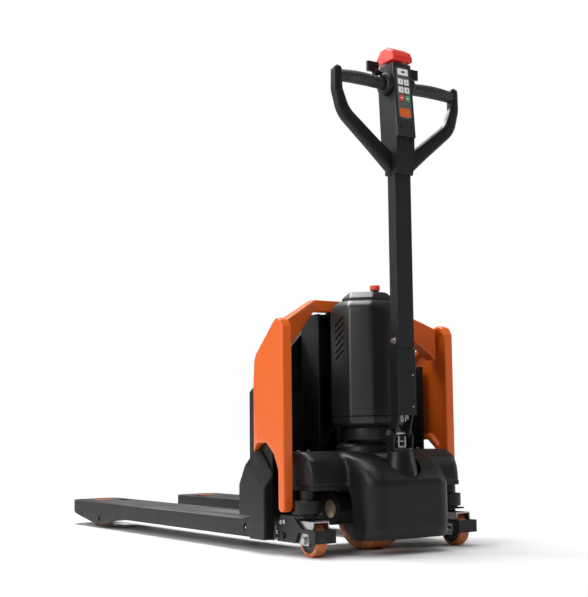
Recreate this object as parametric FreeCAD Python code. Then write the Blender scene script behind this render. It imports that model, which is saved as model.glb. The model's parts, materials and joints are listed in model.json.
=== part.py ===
import FreeCAD, Part
import math
import os

# Electric pallet truck, in millimetres.
# +X is the operator's right, +Y runs from the heel to the fork tips, +Z is up, z = 0 is the floor.
# Every depth below is measured from the heel face (y = 0).  The finished solids are moved back by
# half the length, so that the origin is the middle of the truck's footprint.

V = FreeCAD.Vector
X = V(1, 0, 0)
Y = V(0, 1, 0)
Z = V(0, 0, 1)

# ---------------------------------------------------------------- driving dimensions
fork_length = 1150.0
fork_spread = 540.0
fork_width = 155.0
fork_depth = 45.0
fork_wall = 5.0
lift_travel = 115.0
running_gap = 0.05
part_gap = 0.3
sheet = 4.0

# drive unit
drive_radius = 105.0
drive_width = 70.0
drive_hub_radius = 84.0
motor_radius = 40.0
motor_end = 120.0
drive_axle_radius = 15.0
fork_plate_gap = 5.0
yoke_plate = 12.0
neck_radius = 18.0

# tiller base
tiller_shaft_radius = 12.0
sprocket_radius = 26.0
chain_thick = 3.0
tilt_bolt_radius = 6.0

# chassis and steering case
bridge_thick = 12.0
cone_radius = 45.0
cone_top_radius = 30.0
ring_radius = 74.0
ring_height = 32.0

# tower
tower_half_x = 96.0
tower_half_y = 80.0
tower_corner = 40.0
tower_wall = 3.0
tower_shoulder_z = 600.0
knob_radius = 12.5

# tiller column and head
column_half_x = 24.5
column_depth = 31.0
column_wall = 3.0
column_top = 940.0
foot_plate_x = 18.7
foot_plate_thick = 5.0
head_half_x = 28.0
grip_radius = 15.5
collar_half_x = 45.0
handle_half_x = 196.0
handle_width = 22.0
panel_depth = 5.0
key_gap = 0.4
key_height = 1.6
key_travel = 1.2
key_half_x = 7.0
key_half_z = 7.5
key_column = 9.0
speed_half_x = 15.5
speed_half_z = 8.5
hood_travel = 5.0
rocker_half_x = 13.0

# castors
castor_radius = 40.0
castor_width = 30.0
castor_trail = 24.0
castor_head_radius = 32.0

# lift frame and panels
panel_thick = 27.0
panel_rear = -208.0
panel_front = -45.0
panel_leg_depth = 27.0
channel_half_x = 98.0
channel_wall = 6.0
channel_front_of_web = -32.0
mast_y = -58.0
post_inner = 70.0
ram_radius = 14.0
cylinder_radius = 20.0
frame_top = 600.0
bar_height = 30.0
heel_top = 252.0
heel_step = 1.0

# load wheels and their linkage
load_radius = 35.0
load_width = 60.0
load_pivot_y = fork_length - 237.0
load_arm = 140.0
load_lever = 27.0
load_pin_radius = 8.0
load_tube_radius = 11.0
rocker_y = -24.0
rocker_radius = 10.0
rocker_reach = 123.0
rocker_arm_half = 13.0
lever_pin_radius = 5.0
slot_spare = 3.0

# ---------------------------------------------------------------- values that follow
fork_top = 2 * load_radius + 11.0
fork_bottom = fork_top - fork_depth
fork_outer = fork_spread / 2
fork_inner = fork_outer - fork_width
fork_centre = fork_outer - fork_width / 2
panel_inner = fork_outer - panel_thick
heel_cover_outer = fork_outer + 5.0
heel_cover_inner = panel_inner + 2.0

drive_y = mast_y - cylinder_radius - drive_radius - 2.0
wheel_corner = drive_width / 2
plate_inner = drive_width / 2 + fork_plate_gap
plate_outer = plate_inner + yoke_plate
top_plate_z = 2 * drive_radius + 3.0
neck_z = top_plate_z + 6.0
sprocket_z = neck_z + 5.0
sprocket_thick = 6.0
bearing_z = neck_z + 27.0
bridge_z = drive_radius + 50.0
bridge_top = bridge_z + bridge_thick
wheel_reach = math.sqrt(drive_radius ** 2 - (bridge_z - drive_radius) ** 2)
bridge_hole = round(math.hypot(wheel_reach, wheel_corner) + 4.0)
case_base_radius = bridge_hole - 5.0
case_top_radius = case_base_radius - 14.0
tiller_y = drive_y - bridge_hole - 27.0
tilt_y = tiller_y + 2.0
case_top_z = bearing_z + 21.0
case_nose_z = bridge_top + 28.0
cone_top_z = case_top_z - 21.0
bearing_height = case_top_z - 9.0 - bearing_z

yoke_inner = 26.0
yoke_outer = 31.0
yoke_z = cone_top_z + 1.0
yoke_floor = yoke_z + 6.0
tilt_z = yoke_z + 43.0

tower_y = drive_y - 15.0
knob_y = tower_y - 25.0
ring_z = case_top_z + 5.0
tower_cap_z = ring_z + ring_height + 1.0
tower_body_z = tower_cap_z + 29.0
tower_floor_z = tower_cap_z + sheet + 3.0
tower_top_z = tower_shoulder_z + 26.0
tower_lid_top = tower_top_z + 22.0

castor_y = drive_y - 50.0
cover_half = panel_inner - 11.0
cover_front = tiller_y - 55.0
cover_back = drive_y + 60.0
cover_top = bridge_top + 80.0
cover_shoulder_z = bridge_z + 8.0
cover_shoulder_y = castor_y - 41.0
cover_bottom = 33.0
bulge_half = bridge_hole + 22.0
screw_y = drive_y + 35.0
screw_places = (42 - cover_half, 72 - cover_half, cover_half - 42)

castor_x = fork_spread / 2 - 50.0
castor_head_z = 2 * castor_radius + 20.0
castor_axle_y = castor_y - castor_trail
castor_pivot_y = castor_axle_y + castor_radius + 47.0
castor_pivot_z = castor_radius + 6.0
castor_front = castor_axle_y - castor_radius - 11.0
panel_leg_z = castor_head_z + 4.0

column_front = tiller_y - 35.0
column_back = column_front + column_depth
grip_y = tiller_y - 15.0
foot_bottom = tilt_z + 43.0
foot_top = foot_bottom + 163.0
head_bottom = column_top - 8.0
head_back = column_back + 27.0
head_top = column_top + 274.0
grip_z = column_top + 223.0
throttle_y = tiller_y - 1.0
throttle_z = column_top + 254.0
throttle_shaft = 5.0
face_low = V(0, cover_front + 0.5, column_top + 90.0)
face_high = V(0, cover_front + 17.5, column_top + 292.0)
face_up = (face_high - face_low).normalize()
face_out = V(0, -face_up.z, face_up.y)
key_rows = {"1": (-1, column_top + 226.0), "2": (1, column_top + 226.0),
            "3": (-1, column_top + 204.5), "4": (1, column_top + 204.5)}
stop_row = column_top + 183.0
speed_row = column_top + 252.0
hood_z = head_top + hood_travel + 2.0
lift_rocker_z = column_top + 195.0

post_outer = channel_half_x - channel_wall - 5.0
bar_bottom = frame_top + 5.0
web_back = channel_front_of_web + channel_wall

load_pivot_z = load_radius - 5.0
load_axle_z = load_radius
load_axle_y = load_pivot_y + math.sqrt(load_arm ** 2 - (load_axle_z - load_pivot_z) ** 2)
load_start = math.asin((load_pivot_z - load_axle_z) / load_arm)
load_end = math.asin((load_pivot_z - load_axle_z + lift_travel) / load_arm)
load_swing = load_end - load_start
rod_travel = 2 * load_lever * math.sin(load_swing / 2)
rocker_z = fork_top - 21.0
rocker_swing = 2 * math.atan2(lift_travel / 2, rocker_reach)
rocker_lever = rod_travel / (2 * math.sin(rocker_swing / 2))
arm_x = fork_centre - 42.0
pin_y = rocker_y - rocker_reach
pin_z = rocker_z + lift_travel / 2
y_shift = -(fork_length + cover_front) / 2


# ---------------------------------------------------------------- helpers
def box(x0, x1, y0, y1, z0, z1):
    return Part.makeBox(x1 - x0, y1 - y0, z1 - z0, V(x0, y0, z0))


def rod(radius, start, end):
    return Part.makeCylinder(radius, (end - start).Length, start, end - start)


def tube(outer, inner, start, end):
    return rod(outer, start, end).cut(rod(inner, start, end))


def prism(points, direction):
    return Part.Face(Part.makePolygon(points + [points[0]])).extrude(direction)


def prism_yz(points, x0, x1):
    return prism([V(x0, y, z) for y, z in points], X * (x1 - x0))


def prism_xz(points, y0, y1):
    return prism([V(x, y0, z) for x, z in points], Y * (y1 - y0))


def prism_xy(points, z0, z1):
    return prism([V(x, y, z0) for x, y in points], Z * (z1 - z0))


def join(shapes):
    whole = shapes[0]
    for shape in shapes[1:]:
        whole = whole.fuse(shape)
    return whole.removeSplitter()


def group(shapes):
    return Part.makeCompound(shapes)


def mirrored(shape):
    return shape.mirror(V(0, 0, 0), X)


def moved(shape, x, y, z):
    copy = shape.copy()
    copy.translate(V(x, y, z))
    return copy


def above(z):
    """A large block that fills everything above a height."""
    size = 2000.0
    return box(-size, size, -size, size, z, z + size)


def side_of_plane(point, normal):
    """A large block that fills the outer side of a plane, used to shave off a facet."""
    size = 2000.0
    block = Part.makeBox(size, size, size, V(-size / 2, -size / 2, 0))
    block.Placement = FreeCAD.Placement(point, FreeCAD.Rotation(Z, normal))
    return block


def hex_head(radius, height, start, axis):
    corners = [V(radius * math.cos(math.pi * k / 3), radius * math.sin(math.pi * k / 3), 0) for k in range(6)]
    head = prism(corners, Z * height)
    head.Placement = FreeCAD.Placement(start, FreeCAD.Rotation(Z, axis))
    return head


def loft(wires):
    return Part.makeLoft(wires, True, True)


def rectangle_at_x(x, y0, y1, z0, z1):
    points = [V(x, y0, z0), V(x, y1, z0), V(x, y1, z1), V(x, y0, z1)]
    return Part.makePolygon(points + [points[0]])


def vertical_edges(shape):
    found = []
    for edge in shape.Edges:
        line = edge.Vertexes[-1].Point - edge.Vertexes[0].Point
        if line.Length > 1e-6 and abs(line.z) > 0.999 * line.Length:
            found.append(edge)
    return found


def save(name, shape):
    placed = shape.copy()
    placed.translate(V(0, y_shift, 0))
    placed.exportStep(os.path.join("parts", name + ".step"))
    print(name, len(placed.Solids), "solids", round(placed.Volume / 1000, 1), "cm3", placed.isValid())


os.makedirs("parts", exist_ok=True)


# ---------------------------------------------------------------- chassis
def base_frame():
    """Bridge plate over the drive wheel, its front tongue, castor wings, mast posts and link pins."""
    wing = cover_half - sheet - 1
    wing_front = cover_shoulder_y + sheet + 2
    wing_back = drive_y + 87
    tongue = bridge_hole + 5
    plate = join([
        box(-wing, wing, wing_front, wing_back, bridge_z, bridge_top),
        box(-tongue, tongue, tiller_y - 30, wing_front + 20, bridge_z, bridge_top),
        box(-post_outer, post_outer, wing_back - 15, channel_front_of_web - 6, bridge_z, bridge_top),
    ])
    plate = plate.cut(rod(bridge_hole, V(0, drive_y, bridge_z - 1), V(0, drive_y, bridge_top + 1)))
    boss = rod(20, V(0, tiller_y, bridge_top), V(0, tiller_y, case_nose_z + 2))
    bore = rod(tiller_shaft_radius + running_gap, V(0, tiller_y, bridge_z - 1), V(0, tiller_y, case_nose_z + 3))
    pieces = [plate, boss]
    for side in (-1, 1):
        post = box(post_inner, post_outer, mast_y - 25, mast_y + 20, bridge_top, frame_top - 15)
        hanger = box(arm_x + 9, arm_x + 17, pin_y - 14, pin_y + 14, pin_z - 14, bridge_z)
        pin = rod(6, V(arm_x - 7, pin_y, pin_z), V(arm_x + 9, pin_y, pin_z))
        for piece in (post, hanger, pin):
            pieces.append(piece if side > 0 else mirrored(piece))
    return join(pieces).cut(bore)


def nose_hull(back_radius, front_radius, front_top, z0, z1, grow):
    """Tapered block between the round case over the drive neck and the cone round the tiller shaft."""
    reach = drive_y - tiller_y
    back = drive_y - 40.0
    half_back = back_radius - grow
    half_front = front_radius - grow
    bottom = [V(-half_back, back, z0), V(-half_front, drive_y - reach, z0)]
    bottom += [V(half_front, drive_y - reach, z0), V(half_back, back, z0)]
    half_top = front_top - grow
    top = [V(-half_back + 14, back, z1), V(-half_top, drive_y - reach, z1)]
    top += [V(half_top, drive_y - reach, z1), V(half_back - 14, back, z1)]
    return loft([Part.makePolygon(bottom + [bottom[0]]), Part.makePolygon(top + [top[0]])])


def steering_case():
    """Moulded case over the drive neck, with a nose that carries the steering chain to the tiller cone."""
    axis = V(0, drive_y, bridge_top)
    height = case_top_z - bridge_top
    dome = Part.makeCone(case_base_radius, case_top_radius, height, axis)
    hollow = Part.makeCone(case_base_radius - sheet, case_top_radius - sheet, height, axis)
    hollow = hollow.cut(above(bearing_z))
    cone_axis = V(0, tiller_y, case_nose_z)
    cone_height = cone_top_z - case_nose_z
    cone = Part.makeCone(cone_radius, cone_top_radius, cone_height, cone_axis)
    cone_hollow = Part.makeCone(cone_radius - sheet, cone_top_radius - sheet, cone_height, cone_axis)
    cone_hollow = cone_hollow.cut(above(cone_top_z - 8))
    nose = nose_hull(70.0, cone_radius, cone_top_radius, case_nose_z, cone_top_z, 0.0)
    nose_room = nose_hull(70.0, cone_radius, cone_top_radius, case_nose_z + sheet, cone_top_z - 8, sheet)
    body = join([dome, cone, nose]).cut(hollow).cut(cone_hollow).cut(nose_room)
    bearing_top = bearing_z + bearing_height
    bearing_seat = rod(neck_radius + 10, V(0, drive_y, bearing_z - 1), V(0, drive_y, bearing_top))
    hole_radius = tiller_shaft_radius + part_gap
    shaft_hole = rod(hole_radius, V(0, tiller_y, cone_top_z - 9), V(0, tiller_y, cone_top_z + 1))
    boss_room = rod(20, V(0, tiller_y, case_nose_z - 1), V(0, tiller_y, case_nose_z + 2))
    return body.cut(bearing_seat).cut(shaft_hole).cut(boss_room)


def steering_chain():
    """Endless chain round the two equal sprockets, and the bearing in the top of the case."""
    z0 = sprocket_z + 1
    z1 = sprocket_z + sprocket_thick - 1
    inner = sprocket_radius + part_gap
    outer = inner + chain_thick

    def oval(radius, low, high):
        ends = [rod(radius, V(0, y, low), V(0, y, high)) for y in (drive_y, tiller_y)]
        return join(ends + [box(-radius, radius, tiller_y, drive_y, low, high)])

    loop = oval(outer, z0, z1).cut(oval(inner, z0 - 1, z1 + 1))
    top = bearing_z + bearing_height
    bearing = tube(neck_radius + 10, neck_radius + running_gap, V(0, drive_y, bearing_z), V(0, drive_y, top))
    return group([loop, bearing])


def octagon(half_x, half_y, corner, z):
    outline = [(-half_x, -half_y + corner), (-half_x, half_y - corner), (-half_x + corner, half_y)]
    outline += [(half_x - corner, half_y), (half_x, half_y - corner), (half_x, -half_y + corner)]
    outline += [(half_x - corner, -half_y), (-half_x + corner, -half_y)]
    points = [V(x, tower_y + y, z) for x, y in outline]
    return Part.makePolygon(points + [points[0]])


def tower_form(levels, grow):
    wires = []
    for inset, z in levels:
        wires.append(octagon(tower_half_x - inset - grow, tower_half_y - inset - grow, tower_corner, z))
    return loft(wires)


def tower_ring():
    """Turned ring that carries the tower above the steering case."""
    centre = V(0, tower_y, ring_z)
    ring = rod(ring_radius, centre, centre + Z * (ring_height + 1))
    foot = rod(50, V(0, tower_y, case_top_z), centre)
    return join([ring, foot])


def tower_bottom_cap():
    levels = [(14, tower_cap_z), (5, tower_cap_z + 9), (1, tower_body_z)]
    room = [(9, tower_cap_z + sheet + 3), (5, tower_body_z + 1)]
    return tower_form(levels, 0).cut(tower_form(room, sheet))


def vent_slots():
    """Six slanted slots in each side face."""
    slots = []
    for row in range(6):
        slot = box(-tower_half_x - 5, -tower_half_x + 10, -22, 22, -2.2, 2.2)
        slot.rotate(V(0, 0, 0), X, -32)
        slot.translate(V(0, tower_y, tower_shoulder_z - 28 - 17 * row))
        slots.append(slot)
        slots.append(mirrored(slot))
    return slots


def tower_shell():
    levels = [(0, tower_body_z), (0, tower_shoulder_z), (16, tower_top_z)]
    body = tower_form(levels, 0).cut(tower_form([(0, tower_body_z), (0, tower_shoulder_z)], tower_wall))
    body = body.cut(tower_form([(0, tower_shoulder_z), (16, tower_top_z)], tower_wall))
    for slot in vent_slots():
        body = body.cut(slot)
    return body


def tower_top_cap():
    outline = [(20, tower_top_z - 8), (20, tower_top_z + 6), (32, tower_lid_top)]
    lid = tower_form(outline, 0)
    room = tower_form([(24, tower_top_z - 9), (36, tower_lid_top - sheet)], 0)
    hole = rod(8 + part_gap, V(0, knob_y, tower_top_z - 20), V(0, knob_y, tower_lid_top + 1))
    return lid.cut(room).cut(hole)


def emergency_knob():
    """Pull knob: ribbed head, neck and stem."""
    head = rod(knob_radius, V(0, knob_y, tower_lid_top + 5), V(0, knob_y, tower_lid_top + 18))
    stem = rod(8, V(0, knob_y, tower_top_z - 20), V(0, knob_y, tower_lid_top + 5))
    return join([head, stem])


def battery_pack():
    """Battery on its plinth in the tower's floor, with two terminal lugs."""
    right = tower_half_x - 21
    half_y = tower_half_y - 28
    low = tower_body_z + 16
    high = low + 205
    case = box(-15, right, tower_y - half_y, tower_y + half_y, low, high)
    case = case.makeFillet(4, vertical_edges(case))
    plinth = box(-5, right - 15, tower_y - 30, tower_y + 30, tower_floor_z, low)
    lugs = [rod(5, V(x, tower_y, high), V(x, tower_y, high + 8)) for x in (10, right - 20)]
    return join([case, plinth] + lugs)


def hydraulic_unit():
    """Pump motor over its valve block and oil tank, in one column beside the battery."""
    x = 41 - tower_half_x
    half_y = tower_half_y - 38
    tank_top = tower_body_z + 91
    tank = box(x - 29, x + 29, tower_y - half_y, tower_y + half_y, tower_body_z + 6, tank_top)
    tank = tank.makeFillet(6, vertical_edges(tank))
    plinth = box(x - 20, x + 20, tower_y - 25, tower_y + 25, tower_floor_z, tower_body_z + 6)
    tank = join([tank, plinth])
    block_top = tank_top + 30
    block = box(x - 28, x + 28, tower_y - 30, tower_y + 30, tank_top, block_top)
    motor = rod(32, V(x, tower_y, block_top), V(x, tower_y, block_top + 110))
    cap = rod(28, V(x, tower_y, block_top + 110), V(x, tower_y, block_top + 118))
    return group([tank, block, join([motor, cap])])


# ---------------------------------------------------------------- lower cover
def cover_profiles(grow):
    """Centre bulge and the shoulders, each as a side outline carried across the truck."""
    top = cover_top - grow
    front = cover_front + grow
    shoulder_front = cover_shoulder_y + grow
    bulge_back = cover_shoulder_y - 12
    bulge = [(cover_back, cover_shoulder_z), (cover_back, top)]
    bulge += [(cover_front + 130, top), (cover_front + 70, top - 25)]
    bulge += [(front + 25, top - 59 + grow), (front, cover_shoulder_z + 2), (front, cover_bottom + 25)]
    bulge += [(front + 12, cover_bottom), (bulge_back, cover_bottom), (bulge_back, cover_shoulder_z)]
    shoulder = [(cover_back, cover_shoulder_z), (cover_back, top), (cover_shoulder_y + 51, top)]
    shoulder += [(shoulder_front + 14, top - 25 + grow), (shoulder_front, cover_shoulder_z)]
    middle = prism_yz(bulge, -bulge_half + grow, bulge_half - grow)
    wings = prism_yz(shoulder, -cover_half + grow, cover_half - grow)
    return join([middle, wings])


def lower_cover():
    """One-piece moulded bumper over the drive unit, open below and at the back."""
    outer = cover_profiles(0.0)
    corners = [edge for edge in vertical_edges(outer) if edge.BoundBox.YMin < cover_front + 1]
    outer = outer.makeFillet(30, corners)
    room = join([cover_profiles(sheet), moved(cover_profiles(sheet), 0, sheet + 1, 0)])
    low = moved(cover_profiles(sheet), 0, 0, -sheet - 1)
    body = outer.cut(room).cut(low)
    dome = rod(case_base_radius + 5, V(0, drive_y, bridge_top), V(0, drive_y, cover_top + 1))
    cone = rod(cone_radius + 8, V(0, tiller_y, case_nose_z - 10), V(0, tiller_y, cover_top + 1))
    nose = box(-cone_radius - 8, cone_radius + 8, tiller_y, drive_y, case_nose_z - 10, cover_top + 1)
    body = body.cut(dome).cut(cone).cut(nose)
    for x in screw_places:
        body = body.cut(rod(2.5 + part_gap, V(x, screw_y, cover_top - 2 * sheet), V(x, screw_y, cover_top + 1)))
    return body



def cover_screws():
    """Round screws that hold the cover down on the bridge."""
    screws = []
    for x in screw_places:
        head = rod(5, V(x, screw_y, cover_top), V(x, screw_y, cover_top + 3))
        shank = rod(2.5, V(x, screw_y, bridge_top), V(x, screw_y, cover_top))
        screws.append(join([head, shank]))
    return group(screws)


def lift_cylinder():
    """Single-acting ram barrel on the bridge, with its gland."""
    low = V(0, mast_y, bridge_top)
    high = V(0, mast_y, frame_top - 160)
    barrel = rod(cylinder_radius, low, high)
    gland = rod(cylinder_radius + 3, high - Z * 18, high + Z * 4)
    bore = rod(ram_radius + running_gap, low + Z * 10, high + Z * 5)
    return join([barrel, gland]).cut(bore)


def castor_heads():
    heads = []
    for side in (-1, 1):
        base = V(side * castor_x, castor_y, castor_head_z)
        head = rod(castor_head_radius, base, base + Z * 32)
        stem = rod(18, base + Z * 32, V(base.x, base.y, bridge_z))
        kingpin = rod(8, base - Z * 14, base)
        heads.append(join([head, stem, kingpin]))
    return group(heads)


# ---------------------------------------------------------------- castors
def castor_housing(side):
    """Swivelling housing: top plate, two cheeks, front band, and its bolts as separate solids."""
    rear = castor_pivot_y + 27
    top = castor_head_z - 4
    low = castor_radius - 8
    band_low = castor_radius - 5
    band_top = castor_radius + 26
    arch = castor_radius + 17
    outline = [(rear, low), (rear, low + 40), (rear - 15, top), (castor_y + 20, top), (castor_y - 20, band_top)]
    outline += [(castor_front, band_top), (castor_front, band_low), (castor_front + 22, band_low)]
    outline += [(castor_front + 30, arch), (castor_y - 3, arch), (castor_y + 10, low)]
    cheeks = [prism_yz(outline, -30, -25), prism_yz(outline, 25, 30)]
    band = box(-30, 30, castor_front, castor_front + 5, band_low, band_top)
    plate = box(-30, 30, castor_y - 27, rear - 15, top - 4, top)
    race = rod(24, V(0, castor_y, top), V(0, castor_y, castor_head_z - part_gap))
    body = join(cheeks + [band, plate, race])
    body = body.cut(rod(8 + running_gap, V(0, castor_y, castor_radius + 20), V(0, castor_y, castor_head_z)))
    pivot = rod(6, V(-30, castor_pivot_y, castor_pivot_z), V(30, castor_pivot_y, castor_pivot_z))
    body = body.cut(pivot)
    heads = [hex_head(8.5, 5, V(30 * end, castor_pivot_y, castor_pivot_z), X * end) for end in (-1, 1)]
    bolts = [join([pivot] + heads)]
    for y, drop in ((castor_pivot_y + 7, 18), (castor_pivot_y - 8, 16)):
        for end in (-1, 1):
            bolts.append(hex_head(5.5, 4, V(30 * end, y, top - drop), X * end))
    bolts.append(hex_head(5.5, 3.4, V(0, castor_pivot_y - 8, top), Z))
    return moved(group([body] + bolts), side * castor_x, 0, 0)


def castor_fork(side):
    """Sprung inner fork, pressed from plate, with the wheel axle and its nuts."""
    axle_y = castor_axle_y
    crown = 2 * castor_radius + 5
    outline = [(castor_pivot_y + 12, castor_pivot_z - 8), (castor_pivot_y + 12, castor_pivot_z + 10)]
    outline += [(axle_y + 30, castor_radius + 20), (axle_y + 22, crown), (axle_y - 33, crown)]
    outline += [(axle_y - 33, crown - 15), (axle_y - 12, castor_radius - 12), (axle_y + 12, castor_radius - 12)]
    cheeks = [prism_yz(outline, -23, -20), prism_yz(outline, 20, 23)]
    bridge = box(-23, 23, axle_y - 33, axle_y - 9, crown - 3, crown)
    hole = rod(6 + running_gap, V(-40, castor_pivot_y, castor_pivot_z), V(40, castor_pivot_y, castor_pivot_z))
    axle = rod(6, V(-23, axle_y, castor_radius), V(23, axle_y, castor_radius))
    frame = join(cheeks + [bridge]).cut(hole).cut(axle)
    nuts = [hex_head(9, 8, V(23 * end, axle_y, castor_radius), X * end) for end in (-1, 1)]
    return moved(group([frame, join([axle] + nuts)]), side * castor_x, 0, 0)


def castor_wheel(side):
    half = castor_width / 2
    left = V(-half, castor_axle_y, castor_radius)
    right = V(half, castor_axle_y, castor_radius)
    tyre = tube(castor_radius, castor_radius - 9, left, right)
    hub = tube(castor_radius - 9, 6 + running_gap, left, right)
    return moved(group([tyre, hub]), side * castor_x, 0, 0)


# ---------------------------------------------------------------- drive unit
def drive_gearbox():
    """Cheeks either side of the wheel, top plate, neck and steering sprocket."""
    cheeks = []
    for side in (-1, 1):
        cheek = box(plate_inner, plate_outer, drive_y - 45, drive_y + 45, drive_radius - 45, top_plate_z)
        cheeks.append(cheek if side > 0 else mirrored(cheek))
    top = box(-plate_outer, plate_outer, drive_y - 45, drive_y + 45, top_plate_z, neck_z)
    neck = rod(neck_radius, V(0, drive_y, neck_z), V(0, drive_y, bearing_z + bearing_height - 1))
    sprocket = rod(sprocket_radius, V(0, drive_y, sprocket_z), V(0, drive_y, sprocket_z + sprocket_thick))
    bore = rod(drive_axle_radius + running_gap, V(-80, drive_y, drive_radius), V(80, drive_y, drive_radius))
    return join(cheeks + [top, neck, sprocket]).cut(bore)


def drive_motor():
    """Traction motor on the left cheek and the parking brake on the right one."""
    motor = rod(motor_radius, V(-motor_end, drive_y, drive_radius), V(-plate_outer, drive_y, drive_radius))
    flange = rod(44, V(-plate_outer - 10, drive_y, drive_radius), V(-plate_outer, drive_y, drive_radius))
    brake = rod(35, V(plate_outer, drive_y, drive_radius), V(plate_outer + 23, drive_y, drive_radius))
    return group([join([motor, flange]), brake])


def drive_tyre():
    half = drive_width / 2
    tyre = tube(drive_radius, drive_hub_radius, V(-half, drive_y, drive_radius), V(half, drive_y, drive_radius))
    edges = [edge for edge in tyre.Edges if edge.Curve.TypeId == "Part::GeomCircle"]
    outer = [edge for edge in edges if edge.Curve.Radius > drive_radius - 1]
    return tyre.makeFillet(5, outer)


def drive_hub():
    half = drive_width / 2
    wheel = rod(drive_hub_radius, V(-half, drive_y, drive_radius), V(half, drive_y, drive_radius))
    reach = plate_outer - 1
    axle = rod(drive_axle_radius, V(-reach, drive_y, drive_radius), V(reach, drive_y, drive_radius))
    return join([wheel, axle])


# ---------------------------------------------------------------- tiller base
def tiller_yoke():
    """Turning base: round plate with two cheeks that hold the tilt bolt."""
    plate = rod(yoke_outer, V(0, tiller_y, yoke_z), V(0, tiller_y, yoke_floor))
    outline = [(tiller_y - 14, yoke_z), (tiller_y + 14, yoke_z)]
    outline += [(tilt_y + 12, tilt_z), (tilt_y + 6, tilt_z + 12)]
    outline += [(tilt_y - 8, tilt_z + 12), (tiller_y - 18, tilt_z - 8)]
    cheeks = [prism_yz(outline, -yoke_outer, -yoke_inner), prism_yz(outline, yoke_inner, yoke_outer)]
    hole = rod(tilt_bolt_radius, V(-40, tilt_y, tilt_z), V(40, tilt_y, tilt_z))
    return join([plate] + cheeks).cut(hole)


def tiller_shaft():
    shaft = rod(tiller_shaft_radius, V(0, tiller_y, bridge_z + 3), V(0, tiller_y, yoke_z))
    sprocket = rod(sprocket_radius, V(0, tiller_y, sprocket_z), V(0, tiller_y, sprocket_z + sprocket_thick))
    return join([shaft, sprocket])


def yoke_fittings():
    """Tilt bolt with its two heads, and the small clevis that holds the tiller rods down."""
    bolt = rod(tilt_bolt_radius, V(-yoke_outer, tilt_y, tilt_z), V(yoke_outer, tilt_y, tilt_z))
    heads = [hex_head(8, 4.5, V(yoke_outer * end, tilt_y, tilt_z), X * end) for end in (-1, 1)]
    clevis = box(-12, 12, tilt_y - 12, tilt_y + 10, yoke_floor, tilt_z - 8)
    clevis = clevis.cut(box(-8, 8, tilt_y - 13, tilt_y + 11, yoke_floor + 5, tilt_z))
    cross = rod(3, V(-15, tilt_y - 6, yoke_floor + 17), V(15, tilt_y - 6, yoke_floor + 17))
    return group([join([bolt] + heads), join([clevis, cross])])


# ---------------------------------------------------------------- tiller
def tiller_column():
    """Rectangular tube with two inner foot plates down to the tilt bolt."""
    tall = box(-column_half_x, column_half_x, column_front, column_back, foot_top + 1, column_top)
    room = box(-column_half_x + column_wall, column_half_x - column_wall, column_front + column_wall,
               column_back - column_wall, foot_top, column_top + 1)
    pieces = [tall.cut(room)]
    outline = [(column_front + 5, foot_bottom + 6), (column_front + 5, foot_top + 4)]
    outline += [(column_back - 1, foot_top + 4)]
    outline += [(column_back - 1, foot_bottom + 2), (tilt_y + 13, tilt_z + 10), (tilt_y + 13, tilt_z - 12)]
    outline += [(tilt_y - 13, tilt_z - 12), (tilt_y - 20, tilt_z + 8)]
    hole = rod(tilt_bolt_radius + running_gap, V(-40, tilt_y, tilt_z), V(40, tilt_y, tilt_z))
    for x0 in (-foot_plate_x - foot_plate_thick, foot_plate_x):
        pieces.append(prism_yz(outline, x0, x0 + foot_plate_thick))
    return join(pieces).cut(hole)


def tiller_foot_cover():
    outer = box(-27, 27, column_front - 2, column_back + 3, foot_bottom, foot_top)
    outer = outer.makeFillet(3, vertical_edges(outer))
    inner = box(-24, 24, column_front + 1, column_back, foot_bottom - 1, foot_top + 1)
    return outer.cut(inner)


def tiller_fittings():
    """Bright rods, slanted spring rod and the flanged bolt on the column's left side."""
    low = tilt_z + 27
    front = tilt_y - 22
    rods = [rod(1.6, V(x, front, low), V(x, front, foot_bottom + 30)) for x in (-10, -5, 4)]
    spring = rod(3, V(12, front + 2, low + 6), V(9, front, foot_bottom + 28))
    half = foot_plate_x - part_gap
    clamp = box(-half, half, front - 4, front + 5, foot_bottom + 28, foot_bottom + 36)
    bolt_z = foot_top + 19
    bolt_y = column_front + 16
    flange = rod(8.5, V(-column_half_x - 2, bolt_y, bolt_z), V(-column_half_x, bolt_y, bolt_z))
    head = hex_head(6.5, 6, V(-column_half_x - 2, bolt_y, bolt_z), -X)
    return group([join(rods + [spring, clamp]), join([flange, head])])


# ---------------------------------------------------------------- tiller head
def face_block(x0, x1, z0, z1, out0, out1):
    """A block on the sloping front face: z gives the height along the face, out the distance from it."""
    def corner(x, z, out):
        step = (z - face_low.z) / face_up.z
        return face_low + face_up * step + face_out * out + X * x
    low = [corner(x0, z0, out0), corner(x1, z0, out0), corner(x1, z1, out0), corner(x0, z1, out0)]
    return prism(low, face_out * (out1 - out0))


def head_profile(grow):
    front_low = face_low - face_out * (panel_depth + grow)
    front_high = face_high - face_out * (panel_depth + grow)
    waist = column_top + 45
    outline = [(column_front - 6 + grow, head_bottom - 1 + grow), (column_front - 14 + grow, waist)]
    outline += [(front_low.y, front_low.z), (front_high.y, head_top - grow)]
    outline += [(head_back - 6 - grow, head_top - grow)]
    outline += [(head_back - grow, column_top + 210), (head_back - 8 - grow, waist + 25)]
    outline += [(column_back + 6 - grow, waist), (column_back + 6 - grow, head_bottom - 1 + grow)]
    return prism_yz(outline, -head_half_x + grow, head_half_x - grow)


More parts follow.
